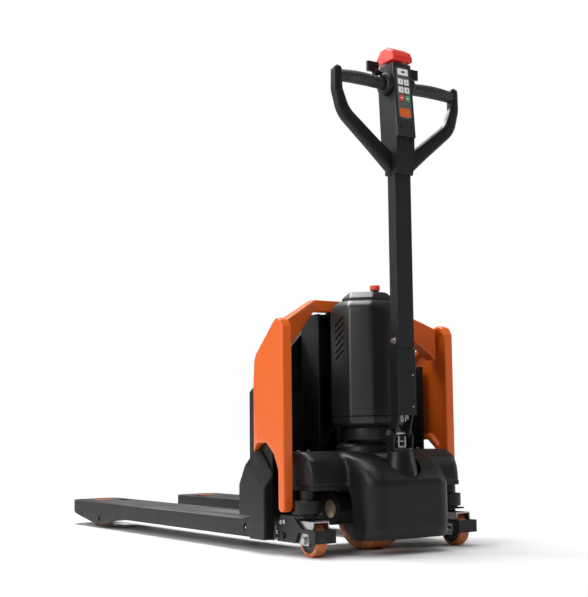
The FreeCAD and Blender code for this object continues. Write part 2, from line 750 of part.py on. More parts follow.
def head_housing():
    """Hollow head moulding with a collar for each grip, a socket for the column and its pivot hole."""
    body = head_profile(0.0)
    collar = rod(22, V(-collar_half_x, grip_y, grip_z), V(collar_half_x, grip_y, grip_z))
    body = join([body, collar])
    body = body.cut(head_profile(3.0))
    socket = box(-column_half_x, column_half_x, column_front, column_back, head_bottom - 2, column_top)
    shaft = rod(throttle_shaft + part_gap, V(-60, throttle_y, throttle_z), V(60, throttle_y, throttle_z))
    window = box(-rocker_half_x - key_gap, rocker_half_x + key_gap, head_back - 8, head_back + 7,
                 lift_rocker_z - 17, lift_rocker_z + 17)
    plunger = box(-16, 16, grip_y - 15, grip_y + 25, head_top - 10, head_top + 1)
    keys = box(-20, 20, cover_front - 10, cover_front + 29, stop_row - 11, speed_row + 12)
    return body.cut(socket).cut(shaft).cut(window).cut(plunger).cut(keys)


def key_shape(x, z, half_x, half_z):
    cap = face_block(x - half_x, x + half_x, z - half_z, z + half_z, key_travel - 1.0, key_travel + key_height)
    stem = face_block(x - 3, x + 3, z - 3, z + 3, -panel_depth - 2, key_travel - 1.0)
    return join([cap, stem])


def key_room(x, z, half_x, half_z):
    room = face_block(x - half_x - key_gap, x + half_x + key_gap, z - half_z - key_gap, z + half_z + key_gap,
                      -1.4, key_height + 3)
    bore = face_block(x - 3 - key_gap, x + 3 + key_gap, z - 3 - key_gap, z + 3 + key_gap, -panel_depth - 1, 0)
    return join([room, bore])


def all_keys():
    keys = [(side * key_column, z, key_half_x, key_half_z) for side, z in key_rows.values()]
    keys += [(-key_column, stop_row, key_half_x, key_half_z), (key_column, stop_row, key_half_x, key_half_z)]
    keys.append((0.0, speed_row, speed_half_x, speed_half_z))
    return keys


def control_panel():
    """Front panel that carries the keys, with two screw holes at the bottom."""
    plate = face_block(-head_half_x, head_half_x, face_low.z - 6, head_top + 1, -panel_depth, 0)
    for key in all_keys():
        plate = plate.cut(key_room(*key))
    for x in (-16, 16):
        plate = plate.cut(rod(3, face_low + V(x, -6, 19), face_low + V(x, 2.5, 19)))
    return plate


def handle_loops():
    """Two looped arms from the socket out and up to the ends of the grips."""
    out = handle_half_x
    inside = out - handle_width
    heights = [(head_half_x, -2), (62, 16), (out - 28, 102), (out - 8, 128), (out, 160), (out, 246)]
    heights += [(inside, 246), (inside, 166), (inside - 8, 142), (inside - 24, 122)]
    heights += [(62, 54), (head_half_x, 40)]
    loops = []
    for side in (-1, 1):
        outline = [(side * x, column_top + height) for x, height in heights]
        loop = prism_xz(outline, grip_y - 13, grip_y + 11)
        loops.append(loop)
    return group(loops)


def grips():
    both = []
    for side in (-1, 1):
        start = V(side * collar_half_x, grip_y, grip_z)
        both.append(rod(grip_radius, start, V(side * (handle_half_x - handle_width), grip_y, grip_z)))
    return group(both)


def throttle():
    """Butterfly: a thumb paddle on each side of the head, on one shaft."""
    near = collar_half_x + 1
    shaft = rod(throttle_shaft, V(-near - 4, throttle_y, throttle_z), V(near + 4, throttle_y, throttle_z))
    pieces = [shaft]
    for side in (-1, 1):
        hub = rod(8, V(side * near, throttle_y, throttle_z), V(side * (near + 14), throttle_y, throttle_z))
        paddle = box(near, near + 34, throttle_y - 4, throttle_y + 4, throttle_z, throttle_z + 26)
        pieces += [hub, paddle if side > 0 else mirrored(paddle)]
    return join(pieces)


def belly_button():
    """Red safety hood on top of the head, with a plunger into the housing."""
    front = cover_front + 9
    back = head_back + 8
    outline = [(front, hood_z), (front, hood_z + 11), (front + 7, hood_z + 25), (front + 31, hood_z + 39)]
    outline += [(back - 24, hood_z + 39), (back - 4, hood_z + 17), (back, hood_z)]
    hood = prism_yz(outline, -head_half_x - 3, head_half_x + 3)
    rims = [edge for edge in hood.Edges if edge.BoundBox.XLength < 0.01 and edge.BoundBox.ZMax > hood_z + 1]
    hood = hood.makeFillet(5, rims)
    plunger = box(-12, 12, grip_y - 10, grip_y + 20, head_top - 8, hood_z)
    return join([hood, plunger])


def lift_rocker():
    """Two-way rocker for lift and lower, on the fork side of the head."""
    centre = V(0, head_back - 1, lift_rocker_z)
    bar = rod(5, centre - X * rocker_half_x, centre + X * rocker_half_x)
    cap = box(-rocker_half_x, rocker_half_x, centre.y, centre.y + 6, lift_rocker_z - 14, lift_rocker_z + 14)
    return join([bar, cap])


# ---------------------------------------------------------------- lift frame
def lift_frame():
    """Channel round the mast, a cross web to both sides, side plates and the ram head plate."""
    outer = channel_half_x
    inner = channel_half_x - channel_wall
    flange_z = bridge_top + 13
    web_top = frame_top - 200
    pieces = [
        box(-outer, outer, channel_front_of_web, web_back, flange_z, frame_top),
        box(-panel_inner, panel_inner, channel_front_of_web, web_back, fork_top + 20, web_top),
        box(-inner, inner, mast_y - 42, channel_front_of_web, frame_top - 6, frame_top),
        box(-60, 60, mast_y - 42, mast_y - 26, frame_top, bar_bottom),
    ]
    for side in (-1, 1):
        flange = box(inner, outer, mast_y - 50, channel_front_of_web, flange_z, frame_top)
        cheek = box(panel_inner - 6, panel_inner, mast_y - 54, channel_front_of_web,
                    panel_leg_z + 8, web_top + 70)
        heel = box(fork_inner + 8, panel_inner, web_back, web_back + 18, fork_top - heel_step, fork_top + 99)
        for piece in (flange, cheek, heel):
            pieces.append(piece if side > 0 else mirrored(piece))
    return join(pieces)


def back_cover():
    """Black tray behind the load face, with slanted shoulders and a turned-in rim."""
    def outline(grow):
        low = fork_top + 4 - (0 if grow == 0 else 5)
        half = panel_inner - 1 - grow
        waist = frame_top - 200
        crown = frame_top - 17 - grow
        right = [(33, crown), (75 + grow * 0.6, crown - 7), (half, waist), (half, low)]
        return [(-x, z) for x, z in reversed(right)] + right
    depth = 24.0
    face = prism_xz(outline(0), -sheet, 0)
    rim = prism_xz(outline(0), -depth, -sheet).cut(prism_xz(outline(3), -depth - 1, 0))
    tray = join([face, rim])
    for side in (-1, 1):
        room = box(fork_inner + 6, fork_outer, channel_front_of_web, -sheet - 0.5, fork_top, fork_top + 101)
        tray = tray.cut(room if side > 0 else mirrored(room))
    return tray


def fork(side):
    """Pressed channel fork with a sloping nose, a belly round the load wheel, and its pivot pin."""
    tip = fork_length
    wheel = load_pivot_y
    outline = [(-51, fork_bottom), (-51, fork_top), (tip - 10, fork_top)]
    outline += [(tip, fork_top - 8), (tip, fork_top - 20)]
    outline += [(tip - 43, fork_bottom + 2), (tip - 80, fork_bottom - 5), (wheel + 46, load_pivot_z - 15)]
    outline += [(wheel + 2, load_pivot_z - 19), (wheel - 70, load_pivot_z - 13), (wheel - 160, fork_bottom)]
    solid = prism_yz(outline, fork_inner, fork_outer)
    nose = [edge for edge in vertical_edges(solid) if edge.BoundBox.YMin > tip - 1]
    solid = solid.makeFillet(8, nose)
    for x, normal in ((fork_outer, V(1, 1, 0)), (fork_inner, V(-1, 1, 0))):
        solid = solid.cut(side_of_plane(V(x, tip - 32, 0), normal))
    room_top = fork_top - fork_wall
    room = box(fork_inner + fork_wall, fork_outer - fork_wall, -60, tip - 48, -10, room_top)
    heel_room = box(fork_inner + fork_wall, fork_outer - fork_wall, -60, -12, -10, fork_top + 1)
    step = box(fork_inner - 1, fork_outer + 1, -60, 0, fork_top - heel_step, fork_top + 1)
    slot = box(fork_inner + 14, fork_inner + 42, wheel + 44, wheel + 128, fork_top - 10, fork_top + 1)
    shaft_ends = [V(x, rocker_y, rocker_z) for x in (fork_inner - 1, fork_outer + 1)]
    shaft = rod(rocker_radius + running_gap, *shaft_ends)
    body = solid.cut(room).cut(heel_room).cut(step).cut(slot).cut(shaft)
    ends = (V(fork_inner, wheel, load_pivot_z), V(fork_outer, wheel, load_pivot_z))
    pin = rod(load_pin_radius, ends[0], ends[1])
    head = rod(7, ends[1], ends[1] + X * 3)
    body = body.cut(pin)
    shape = group([body, join([pin, head])])
    return shape if side > 0 else mirrored(shape)


def heel_form(shift):
    """Faceted heel cover as a block shaved by sloping planes; shift moves every face inwards."""
    out = heel_cover_outer - shift
    flat_top = heel_top - 37.5 - shift
    block = box(heel_cover_inner - 1, out, -124 + shift, -shift, fork_bottom - 3 - 2 * shift, heel_top - shift)
    cuts = [
        (V(out, -shift, heel_top - 87), V(0, 49, 30)),
        (V(out, -50, flat_top), V(38, 0, 17)),
        (V(out, -66, flat_top), V(38, -30, 30)),
        (V(out, -105, heel_top - 66 - shift), V(30, -38, 26)),
    ]
    for point, normal in cuts:
        block = block.cut(side_of_plane(point, normal))
    return block


def heel_cover(side):
    room = heel_form(sheet)
    body = heel_form(0.0)
    body = body.cut(room).cut(moved(room, -10, 0, 0))
    body = body.cut(box(0, 400, -51 - part_gap, 10, 0, fork_top + 7))
    body = body.cut(box(0, heel_cover_inner, -200, 100, 0, 400))
    return body if side > 0 else mirrored(body)


def side_panel(side):
    """Painted side panel: rear leg, arch over the heel cover, slanted top and a bevelled front."""
    leg = panel_rear + panel_leg_depth
    apex = frame_top - 23
    arch = heel_top + 18
    outline = [(panel_rear + 8, panel_leg_z), (panel_rear, panel_leg_z + 10), (panel_rear, apex - 25)]
    outline += [(panel_rear + 12, apex - 7), (panel_rear + 32, apex), (panel_rear + 48, apex - 6)]
    outline += [(panel_front - 11, apex - 81), (panel_front, apex - 97), (panel_front, arch - 24)]
    outline += [(panel_front - 17, arch - 8), (panel_front - 37, arch), (panel_front - 81, arch)]
    outline += [(leg + 21, arch - 26), (leg, arch - 65), (leg, panel_leg_z + 10), (leg - 8, panel_leg_z)]
    body = prism_yz(outline, panel_inner, fork_outer)
    body = body.cut(side_of_plane(V(fork_outer, panel_front - 38, 0), V(33, 11, 0)))
    body = body.cut(side_of_plane(V(fork_outer, panel_front - 84, apex - 152), V(25, 3.6, 1.45)))
    inside = [(panel_rear + 6, panel_leg_z + 16), (panel_rear + 6, apex - 32), (panel_rear + 30, apex - 12)]
    inside += [(panel_front - 15, apex - 97), (panel_front - 10, apex - 107), (panel_front - 10, arch + 15)]
    inside += [(panel_front - 89, arch + 15), (leg + 13, arch - 14), (leg - 5, arch - 60)]
    inside += [(leg - 5, panel_leg_z + 16)]
    body = body.cut(prism_yz(inside, panel_inner - 1, panel_inner + 10))
    return body if side > 0 else mirrored(body)


def top_bar():
    """Bridge bar between the panels: level across the middle, sloping down to each panel."""
    top = bar_bottom + bar_height
    middle_half = 114.0
    low = mast_y - 56
    high = mast_y - 26
    middle = box(-middle_half, middle_half, low, high, bar_bottom, top)
    pieces = [middle]
    for side in (-1, 1):
        near = rectangle_at_x(side * middle_half, low, high, bar_bottom, top)
        far = rectangle_at_x(side * panel_inner, panel_rear + 36, panel_rear + 76,
                             frame_top - 118, frame_top - 32)
        pieces.append(loft([near, far]))
    return join(pieces)


def lift_ram():
    return rod(ram_radius, V(0, mast_y, frame_top - 300), V(0, mast_y, frame_top - 6))


# ---------------------------------------------------------------- lift linkage
def rocker_shaft():
    """Cross shaft in the heels: rear arms held down by the chassis pins, lower levers for the rods."""
    start = -rocker_swing / 2
    pieces = [rod(rocker_radius, V(-fork_outer + 7, rocker_y, rocker_z), V(fork_outer - 7, rocker_y, rocker_z))]
    reach = math.hypot(rocker_reach, lift_travel / 2)
    half_slot = 6 + slot_spare
    for side in (-1, 1):
        arm = box(arm_x - 4, arm_x + 4, rocker_y - reach - 14, rocker_y,
                  rocker_z - rocker_arm_half, rocker_z + rocker_arm_half)
        eye = box(arm_x - 5, arm_x + 5, rocker_y - reach - 9.5, rocker_y - rocker_reach + 9.5,
                  rocker_z - half_slot, rocker_z + half_slot)
        arm = arm.cut(eye)
        lever = box(fork_centre - 3, fork_centre + 3, rocker_y - 8, rocker_y + 8,
                    rocker_z - rocker_lever - 8, rocker_z)
        pin = rod(lever_pin_radius, V(fork_centre - 9, rocker_y, rocker_z - rocker_lever),
                  V(fork_centre + 9, rocker_y, rocker_z - rocker_lever))
        for piece in (arm, lever, pin):
            piece.rotate(V(0, rocker_y, rocker_z), X, math.degrees(start))
            pieces.append(piece if side > 0 else mirrored(piece))
    return join(pieces)


def slotted_eye(y, z, x0, x1):
    """Rod end: a plate with an upright slot, so that the pin may rise and fall in its arc."""
    plate = box(x0, x1, y - 10, y + 10, z - 11.5, z + 11.5)
    half = lever_pin_radius + part_gap
    return plate.cut(box(x0 - 1, x1 + 1, y - half, y + half, z - half - slot_spare, z + half + slot_spare))


def push_rods():
    """One push rod in each fork, between the rocker lever and the lever on the load arm."""
    heel_y = rocker_y - rocker_lever * math.sin(rocker_swing / 2)
    heel_z = rocker_z - rocker_lever * math.cos(rocker_swing / 2)
    tip_y = load_pivot_y - load_lever * math.sin(load_swing / 2)
    tip_z = load_pivot_z + load_lever * math.cos(load_swing / 2)
    both = []
    for side in (-1, 1):
        pieces = []
        for x0 in (-9, 5):
            x = fork_centre + x0
            pieces.append(slotted_eye(heel_y, heel_z, x, x + 4))
            pieces.append(slotted_eye(tip_y, tip_z, x, x + 4))
        bar = [(heel_y + 10, heel_z - 5), (heel_y + 10, heel_z + 5)]
        bar += [(tip_y - 40, tip_z + 5), (tip_y - 40, tip_z - 5)]
        pieces.append(prism_yz(bar, fork_centre + 5, fork_centre + 9))
        pieces.append(prism_yz(bar, fork_centre - 9, fork_centre - 5))
        for x0 in (-9, 5):
            x = fork_centre + x0
            pieces.append(box(x, x + 4, tip_y - 40, tip_y - 10, tip_z - 5, tip_z + 5))
        pieces.append(box(fork_centre - 9, fork_centre + 9, tip_y - 60, tip_y - 40, tip_z - 5, tip_z + 5))
        pieces.append(box(fork_centre - 9, fork_centre + 9, heel_y + 30, heel_y + 50, heel_z - 5, heel_z + 5))
        rod_shape = join(pieces)
        both.append(rod_shape if side > 0 else mirrored(rod_shape))
    return group(both)


def load_arm_frame(side):
    """Two cheeks on a tube round the fork's pin, a lever for the push rod, and the wheel axle."""
    pieces = []
    for x0 in (-load_width / 2 - 9, load_width / 2 + 3):
        cheek = box(fork_centre + x0, fork_centre + x0 + 6, load_pivot_y - 12, load_axle_y + 14,
                    load_pivot_z - 12, load_pivot_z + 14)
        pieces.append(cheek)
    half = load_width / 2 + 3
    ends = [V(fork_centre + x, load_pivot_y, load_pivot_z) for x in (-half, half)]
    pieces.append(rod(load_tube_radius, *ends))
    lever = box(fork_centre - 4, fork_centre + 4, load_pivot_y - 7, load_pivot_y + 7,
                load_pivot_z, load_pivot_z + load_lever + 7)
    pin = rod(lever_pin_radius, V(fork_centre - 9, load_pivot_y, load_pivot_z + load_lever),
              V(fork_centre + 9, load_pivot_y, load_pivot_z + load_lever))
    for piece in (lever, pin):
        piece.rotate(V(0, load_pivot_y, load_pivot_z), X, math.degrees(load_swing / 2))
        pieces.append(piece)
    axle = rod(load_pin_radius, *[V(fork_centre + x, load_axle_y, load_axle_z) for x in (-half - 6, half + 6)])
    body = join(pieces).cut(axle)
    bore_ends = [V(x, load_pivot_y, load_pivot_z) for x in (fork_inner, fork_outer)]
    bore = rod(load_pin_radius + running_gap, *bore_ends)
    shape = group([body.cut(bore), axle])
    return shape if side > 0 else mirrored(shape)


def load_wheel(side):
    half = load_width / 2
    left = V(fork_centre - half, load_axle_y, load_axle_z)
    right = V(fork_centre + half, load_axle_y, load_axle_z)
    tyre = tube(load_radius, load_radius - 8, left, right)
    core = tube(load_radius - 8, load_pin_radius + running_gap, left, right)
    shape = group([tyre, core])
    return shape if side > 0 else mirrored(shape)


# ---------------------------------------------------------------- every node
save("base_frame", base_frame())
save("steering_case", steering_case())
save("steering_chain", steering_chain())
save("tower_ring", tower_ring())
save("tower_bottom_cap", tower_bottom_cap())
save("tower_shell", tower_shell())
save("tower_top_cap", tower_top_cap())
save("emergency_knob", emergency_knob())
save("battery_pack", battery_pack())
save("hydraulic_unit", hydraulic_unit())
save("lower_cover", lower_cover())
save("cover_screws", cover_screws())
save("lift_cylinder", lift_cylinder())
save("castor_heads", castor_heads())
save("drive_gearbox", drive_gearbox())
save("drive_motor", drive_motor())
save("drive_tyre", drive_tyre())
save("drive_hub", drive_hub())
save("tiller_yoke", tiller_yoke())
save("tiller_shaft", tiller_shaft())
save("yoke_fittings", yoke_fittings())
save("tiller_column", tiller_column())
save("tiller_foot_cover", tiller_foot_cover())
save("tiller_fittings", tiller_fittings())
save("head_housing", head_housing())
save("control_panel", control_panel())
save("handle_loops", handle_loops())
save("grips", grips())
save("throttle", throttle())
save("belly_button", belly_button())
save("speed_button", key_shape(0.0, speed_row, speed_half_x, speed_half_z))
for digit, (column, height) in key_rows.items():
    save("key_" + digit, key_shape(column * key_column, height, key_half_x, key_half_z))
save("stop_key", key_shape(-key_column, stop_row, key_half_x, key_half_z))
save("start_key", key_shape(key_column, stop_row, key_half_x, key_half_z))
save("lift_rocker", lift_rocker())
save("lift_frame", lift_frame())
save("back_cover", back_cover())
save("top_bar", top_bar())
save("lift_ram", lift_ram())
save("rocker_shaft", rocker_shaft())
save("push_rods", push_rods())
for word, side in (("left", -1), ("right", 1)):
    save("fork_" + word, fork(side))
    save("heel_cover_" + word, heel_cover(side))
    save("side_panel_" + word, side_panel(side))
    save("load_arm_" + word, load_arm_frame(side))
    save("load_wheel_" + word, load_wheel(side))
    save("castor_housing_" + word, castor_housing(side))
    save("castor_fork_" + word, castor_fork(side))
    save("castor_wheel_" + word, castor_wheel(side))
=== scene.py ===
# %% [markdown]
# # An electric pallet truck, from frame to finish
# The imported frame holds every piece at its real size. This lesson gives each piece its visible form and its
# finish. Flat, machined and pressed pieces keep their designed shape and get rounded edges. Moulded, turned
# and bent pieces are surfaces worked out with numpy. Every length is in metres.

# %% The frame
import json
import math

import bmesh
import bpy
import numpy as np
from mathutils import Matrix, Vector

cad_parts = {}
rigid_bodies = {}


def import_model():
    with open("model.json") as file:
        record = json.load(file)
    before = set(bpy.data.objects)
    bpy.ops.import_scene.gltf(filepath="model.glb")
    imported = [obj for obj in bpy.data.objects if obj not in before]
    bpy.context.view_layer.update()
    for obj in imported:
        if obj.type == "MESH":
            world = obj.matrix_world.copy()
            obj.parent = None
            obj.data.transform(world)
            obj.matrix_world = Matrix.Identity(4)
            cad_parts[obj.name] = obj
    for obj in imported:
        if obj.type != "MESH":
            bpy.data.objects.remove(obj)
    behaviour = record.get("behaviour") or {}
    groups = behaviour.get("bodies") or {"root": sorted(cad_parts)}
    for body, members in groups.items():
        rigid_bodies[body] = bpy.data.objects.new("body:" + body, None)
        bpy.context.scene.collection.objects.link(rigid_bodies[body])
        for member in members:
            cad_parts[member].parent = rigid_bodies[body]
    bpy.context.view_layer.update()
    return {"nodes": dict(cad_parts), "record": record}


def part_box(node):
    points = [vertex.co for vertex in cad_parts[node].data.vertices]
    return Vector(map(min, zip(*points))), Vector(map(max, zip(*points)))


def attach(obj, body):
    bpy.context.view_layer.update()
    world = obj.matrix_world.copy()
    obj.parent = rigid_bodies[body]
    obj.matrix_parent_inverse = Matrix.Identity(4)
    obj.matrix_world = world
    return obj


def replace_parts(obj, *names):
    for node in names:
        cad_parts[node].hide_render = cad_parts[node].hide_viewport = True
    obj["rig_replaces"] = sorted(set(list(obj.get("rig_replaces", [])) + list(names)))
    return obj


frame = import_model()
record = frame["record"]
body_of = {node: body for body, nodes in record["behaviour"]["bodies"].items() for node in nodes}
slot_of = {part["node"]: part["material_slot"] for part in record["subparts"]}

# %% [markdown]
# Places come from the frame's own boxes, so that a changed design carries its looks along. The heel face is
# the front of the black back cover, and depths that a maker would measure from it are written from there.

# %% Places
def low_of(node):
    return np.array(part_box(node)[0])


def high_of(node):
    return np.array(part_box(node)[1])


HEEL = high_of("back_cover")[1]
DRIVE = (low_of("drive_tyre") + high_of("drive_tyre")) / 2
TOWER = (low_of("tower_shell") + high_of("tower_shell")) / 2
TILLER = (low_of("tiller_shaft") + high_of("tiller_shaft")) / 2
GRIP = (low_of("grips") + high_of("grips")) / 2
print("heel face at", round(HEEL, 4), "drive axle at", DRIVE.round(4))

# %% [markdown]
# Shader maths reads best as arithmetic. `Value` wraps a socket so that `1 - mask` or `noise * 0.1` adds the
# Math node, and `Paint` is one material with a single method that makes any other node.

# %% A small language for shaders
class Value:
    """A number, colour or vector that comes out of a node."""

    def __init__(self, paint, socket):
        self.paint = paint
        self.socket = socket

    def math(self, operation, first, second):
        return self.paint.add("ShaderNodeMath", {"operation": operation}, {0: first, 1: second})

    def __add__(self, other):
        return self.math("ADD", self, other)

    def __sub__(self, other):
        return self.math("SUBTRACT", self, other)

    def __rsub__(self, other):
        return self.math("SUBTRACT", other, self)

    def __mul__(self, other):
        return self.math("MULTIPLY", self, other)

    def __truediv__(self, other):
        return self.math("DIVIDE", self, other)

    def power(self, other):
        return self.math("POWER", self, other)

    def size(self):
        return self.math("ABSOLUTE", self, 0.0)

    def least(self, other):
        return self.math("MINIMUM", self, other)

    __radd__ = __add__
    __rmul__ = __mul__


class Paint:
    """One material: its nodes, the place of the shaded point and its Principled shader."""

    def __init__(self, name, colour, roughness, metallic=0.0, coat=0.0):
        self.material = bpy.data.materials.new(name)
        self.material.use_nodes = True
        self.tree = self.material.node_tree
        self.shader = self.tree.nodes["Principled BSDF"]
        self.set("Base Color", (*colour, 1.0))
        self.set("Roughness", roughness)
        self.set("Metallic", metallic)
        self.set("Coat Weight", coat)
        self.set("Coat Roughness", 0.12)
        self.place = self.add("ShaderNodeTexCoord", {}, {}, "Object")

    def add(self, kind, settings, inputs, output=0):
        """Makes a node, sets what it is told first, then links or fills its sockets."""
        node = self.tree.nodes.new(kind)
        for name, value in settings.items():
            setattr(node, name, value)
        for key, value in inputs.items():
            if isinstance(value, Value):
                self.tree.links.new(value.socket, node.inputs[key])
            else:
                node.inputs[key].default_value = value
        return Value(self, node.outputs[output])

    def set(self, name, value):
        if isinstance(value, Value):
            self.tree.links.new(value.socket, self.shader.inputs[name])
        else:
            self.shader.inputs[name].default_value = value

    def noise(self, scale, detail=4.0, stretch=None):
        place = self.place
        if stretch:
            place = self.add("ShaderNodeMapping", {}, {"Vector": place, "Scale": stretch})
        return self.add("ShaderNodeTexNoise", {}, {"Vector": place, "Scale": scale, "Detail": detail}, "Fac")

    def mix(self, mask, first, second):
        """Colour between two colours, by a mask from 0 to 1."""
        node = self.tree.nodes.new("ShaderNodeMix")
        node.data_type = "RGBA"
        colours = [socket for socket in node.inputs if socket.type == "RGBA"]
        for socket, value in ((node.inputs[0], mask), (colours[0], first), (colours[1], second)):
            if isinstance(value, Value):
                self.tree.links.new(value.socket, socket)
            else:
                socket.default_value = value
        return Value(self, [socket for socket in node.outputs if socket.type == "RGBA"][0])

    def axes(self):
        parts = self.tree.nodes.new("ShaderNodeSeparateXYZ")
        self.tree.links.new(self.place.socket, parts.inputs[0])
        return [Value(self, parts.outputs[k]) for k in range(3)]

    def ramp(self, value, low, high):
        """0 below low, 1 above high, and a smooth step between them."""
        settings = {"interpolation_type": "SMOOTHSTEP"}
        return self.add("ShaderNodeMapRange", settings, {"Value": value, "From Min": low, "From Max": high})

    def bump(self, height, strength, distance):
        inputs = {"Height": height, "Strength": strength, "Distance": distance}
        self.set("Normal", self.add("ShaderNodeBump", {}, inputs))


def shade(colour, factor):
    return tuple(min(1.0, channel * factor) for channel in colour) + (1.0,)


# %% [markdown]
# Most finishes on a truck share a recipe: a base colour that drifts a little, fine scuffs that dull the
# gloss, a skin texture that only shows in reflections, and dust that settles low down. One function makes
# the family, and each finish says how much of each it has.

# %% The family of finishes
def finish(name, colour, roughness, metallic=0.0, coat=0.0, drift=0.12, grain=900.0, depth=0.03,
           scuff=0.10, dust=0.10, dust_top=0.25):
    paint = Paint(name, colour, roughness, metallic, coat)
    broad = paint.noise(7.0, 3.0)
    fine = paint.noise(grain, 2.0)
    marks = paint.ramp(paint.noise(60.0, 6.0, (1.0, 1.0, 0.16)), 0.56, 0.72)
    height = paint.axes()[2]
    settled = (1 - paint.ramp(height, 0.0, dust_top)) * paint.ramp(paint.noise(24.0, 8.0), 0.42, 0.75) * dust
    body = paint.mix(broad, shade(colour, 1 - drift), shade(colour, 1 + drift))
    dusted = paint.mix(settled, body, (0.07, 0.065, 0.058, 1.0))
    paint.set("Base Color", dusted)
    paint.set("Roughness", (broad * 0.10 + marks * scuff + settled * 0.4) + (roughness - 0.05))
    paint.bump(fine + marks * 0.4, depth, 0.0006)
    paint.base = dusted
    return paint


# %% [markdown]
# The orange is a gloss two-pack paint: a clear coat over a saturated base, with the faint orange-peel skin
# that sprayed paint has. The black pieces are powder coat, grained moulding and textured rubber, told apart
# by gloss and by the size of their grain.

# %% Paints, plastics and rubber
ORANGE = (0.70, 0.115, 0.008)
BLACK = (0.0075, 0.0075, 0.008)
finishes = {
    "orange_paint": finish("orange paint", ORANGE, 0.38, coat=0.30, drift=0.05, grain=260.0, depth=0.05,
                           scuff=0.06, dust=0.10),
    "black_paint": finish("black powder coat", BLACK, 0.42, drift=0.2, grain=1400.0, depth=0.10, scuff=0.12),
    "black_moulding": finish("black grained moulding", (0.0085, 0.0085, 0.009), 0.38, drift=0.12,
                             grain=1900.0,
                             depth=0.14, scuff=0.10),
    "tower_plastic": finish("tower plastic", (0.0095, 0.0095, 0.010), 0.34, drift=0.10, grain=2100.0,
                            depth=0.10),
    "castor_black": finish("castor paint", (0.008, 0.008, 0.0085), 0.38, drift=0.2, grain=1200.0, depth=0.12,
                           dust=0.45, dust_top=0.14),
    "hub_black": finish("hub plastic", (0.02, 0.02, 0.021), 0.45, drift=0.2, grain=900.0, dust=0.4,
                        dust_top=0.1),
    "cast_grey": finish("dark casting", (0.045, 0.045, 0.047), 0.55, drift=0.25, grain=420.0, depth=0.35),
    "motor_black": finish("motor enamel", (0.009, 0.009, 0.010), 0.38, drift=0.2, grain=700.0, dust=0.3),
    "battery_case": finish("battery case", (0.05, 0.05, 0.055), 0.5, drift=0.1, grain=800.0),
    "hydraulic_paint": finish("pump paint", (0.03, 0.035, 0.045), 0.45, drift=0.1, grain=700.0),
    "red_button": finish("red safety cap", (0.66, 0.028, 0.018), 0.34, coat=0.15, drift=0.06, grain=1500.0,
                         depth=0.03, scuff=0.05, dust=0.0),
    "knob_red": finish("red knob plastic", (0.72, 0.05, 0.018), 0.30, coat=0.25, drift=0.06, grain=1500.0,
                       depth=0.03, dust=0.0),
    "white_key": finish("white key", (0.80, 0.80, 0.78), 0.45, drift=0.03, grain=1600.0, depth=0.05,
                        dust=0.0),
    "red_key": finish("red key", (0.72, 0.05, 0.045), 0.42, drift=0.05, grain=1600.0, depth=0.05, dust=0.0),
    "green_key": finish("green key", (0.035, 0.36, 0.13), 0.42, drift=0.05, grain=1600.0, depth=0.05,
                        dust=0.0),
}
finishes["orange_paint"].set("Specular IOR Level", 0.30)
for slot, level in (("black_paint", 0.30), ("black_moulding", 0.25), ("castor_black", 0.28),
                    ("motor_black", 0.35)):
    finishes[slot].set("Specular IOR Level", level)
print(len(finishes), "finishes of the painted and moulded kind")

# %% [markdown]
# Zinc plating has a crystalline patchwork of slightly different greys, ground steel has fine streaks along
# its length, and a ram is hard chrome. Polyurethane tyres are translucent brown-orange, darker where they
# are scuffed by the floor. Grip rubber is matt with a fine pebble.

# %% Metals, tyres and grips
zinc = Paint("zinc plate", (0.42, 0.43, 0.44), 0.30, 1.0)
cells = zinc.add("ShaderNodeTexVoronoi", {}, {"Vector": zinc.place, "Scale": 420.0}, "Distance")
zinc.set("Base Color", zinc.mix(cells, (0.33, 0.34, 0.36, 1.0), (0.56, 0.55, 0.52, 1.0)))
zinc.set("Roughness", zinc.noise(300.0) * 0.28 + 0.20)
zinc.bump(cells, 0.08, 0.0004)
finishes["zinc"] = zinc

steel = Paint("bright steel", (0.45, 0.45, 0.46), 0.32, 1.0)
streaks = steel.noise(160.0, 5.0, (1.0, 0.05, 1.0))
steel.set("Base Color", steel.mix(streaks, (0.30, 0.30, 0.31, 1.0), (0.58, 0.58, 0.58, 1.0)))
steel.set("Roughness", streaks * 0.25 + 0.22)
steel.bump(streaks, 0.10, 0.0003)
finishes["steel"] = steel

chrome = Paint("hard chrome", (0.75, 0.76, 0.78), 0.10, 1.0)
chrome.set("Roughness", chrome.noise(90.0, 4.0, (1.0, 1.0, 0.1)) * 0.10 + 0.05)
finishes["chrome_ram"] = chrome

TYRE = (0.50, 0.135, 0.030)
tyre = Paint("polyurethane", TYRE, 0.40)
rubbed = tyre.ramp(tyre.noise(90.0, 8.0), 0.45, 0.62)
speck = tyre.ramp(tyre.noise(700.0, 3.0), 0.55, 0.70)
warm = tyre.mix(rubbed * 0.55, shade(TYRE, 1.15), (0.17, 0.075, 0.03, 1.0))
tyre.set("Base Color", tyre.mix(speck * 0.35, warm, (0.09, 0.06, 0.04, 1.0)))
tyre.set("Roughness", rubbed * 0.25 + 0.32)
tyre.bump(speck, 0.15, 0.0005)
finishes["polyurethane"] = tyre

grip = Paint("grip rubber", (0.022, 0.022, 0.023), 0.55)
pebble = grip.add("ShaderNodeTexVoronoi", {}, {"Vector": grip.place, "Scale": 900.0}, "Distance")
worn = grip.ramp(grip.noise(30.0, 6.0), 0.45, 0.7)
grip.set("Base Color", grip.mix(worn, (0.008, 0.008, 0.009, 1.0), (0.017, 0.017, 0.018, 1.0)))
grip.set("Roughness", worn * -0.14 + 0.58)
grip.bump(pebble, 0.25, 0.0005)
finishes["grip_rubber"] = grip

# %% [markdown]
# Pallets drag along the top of the forks, so the black paint there is thin and the grey steel shows through
# in long scratches. The wear is limited to the top few millimetres by the point's own height.

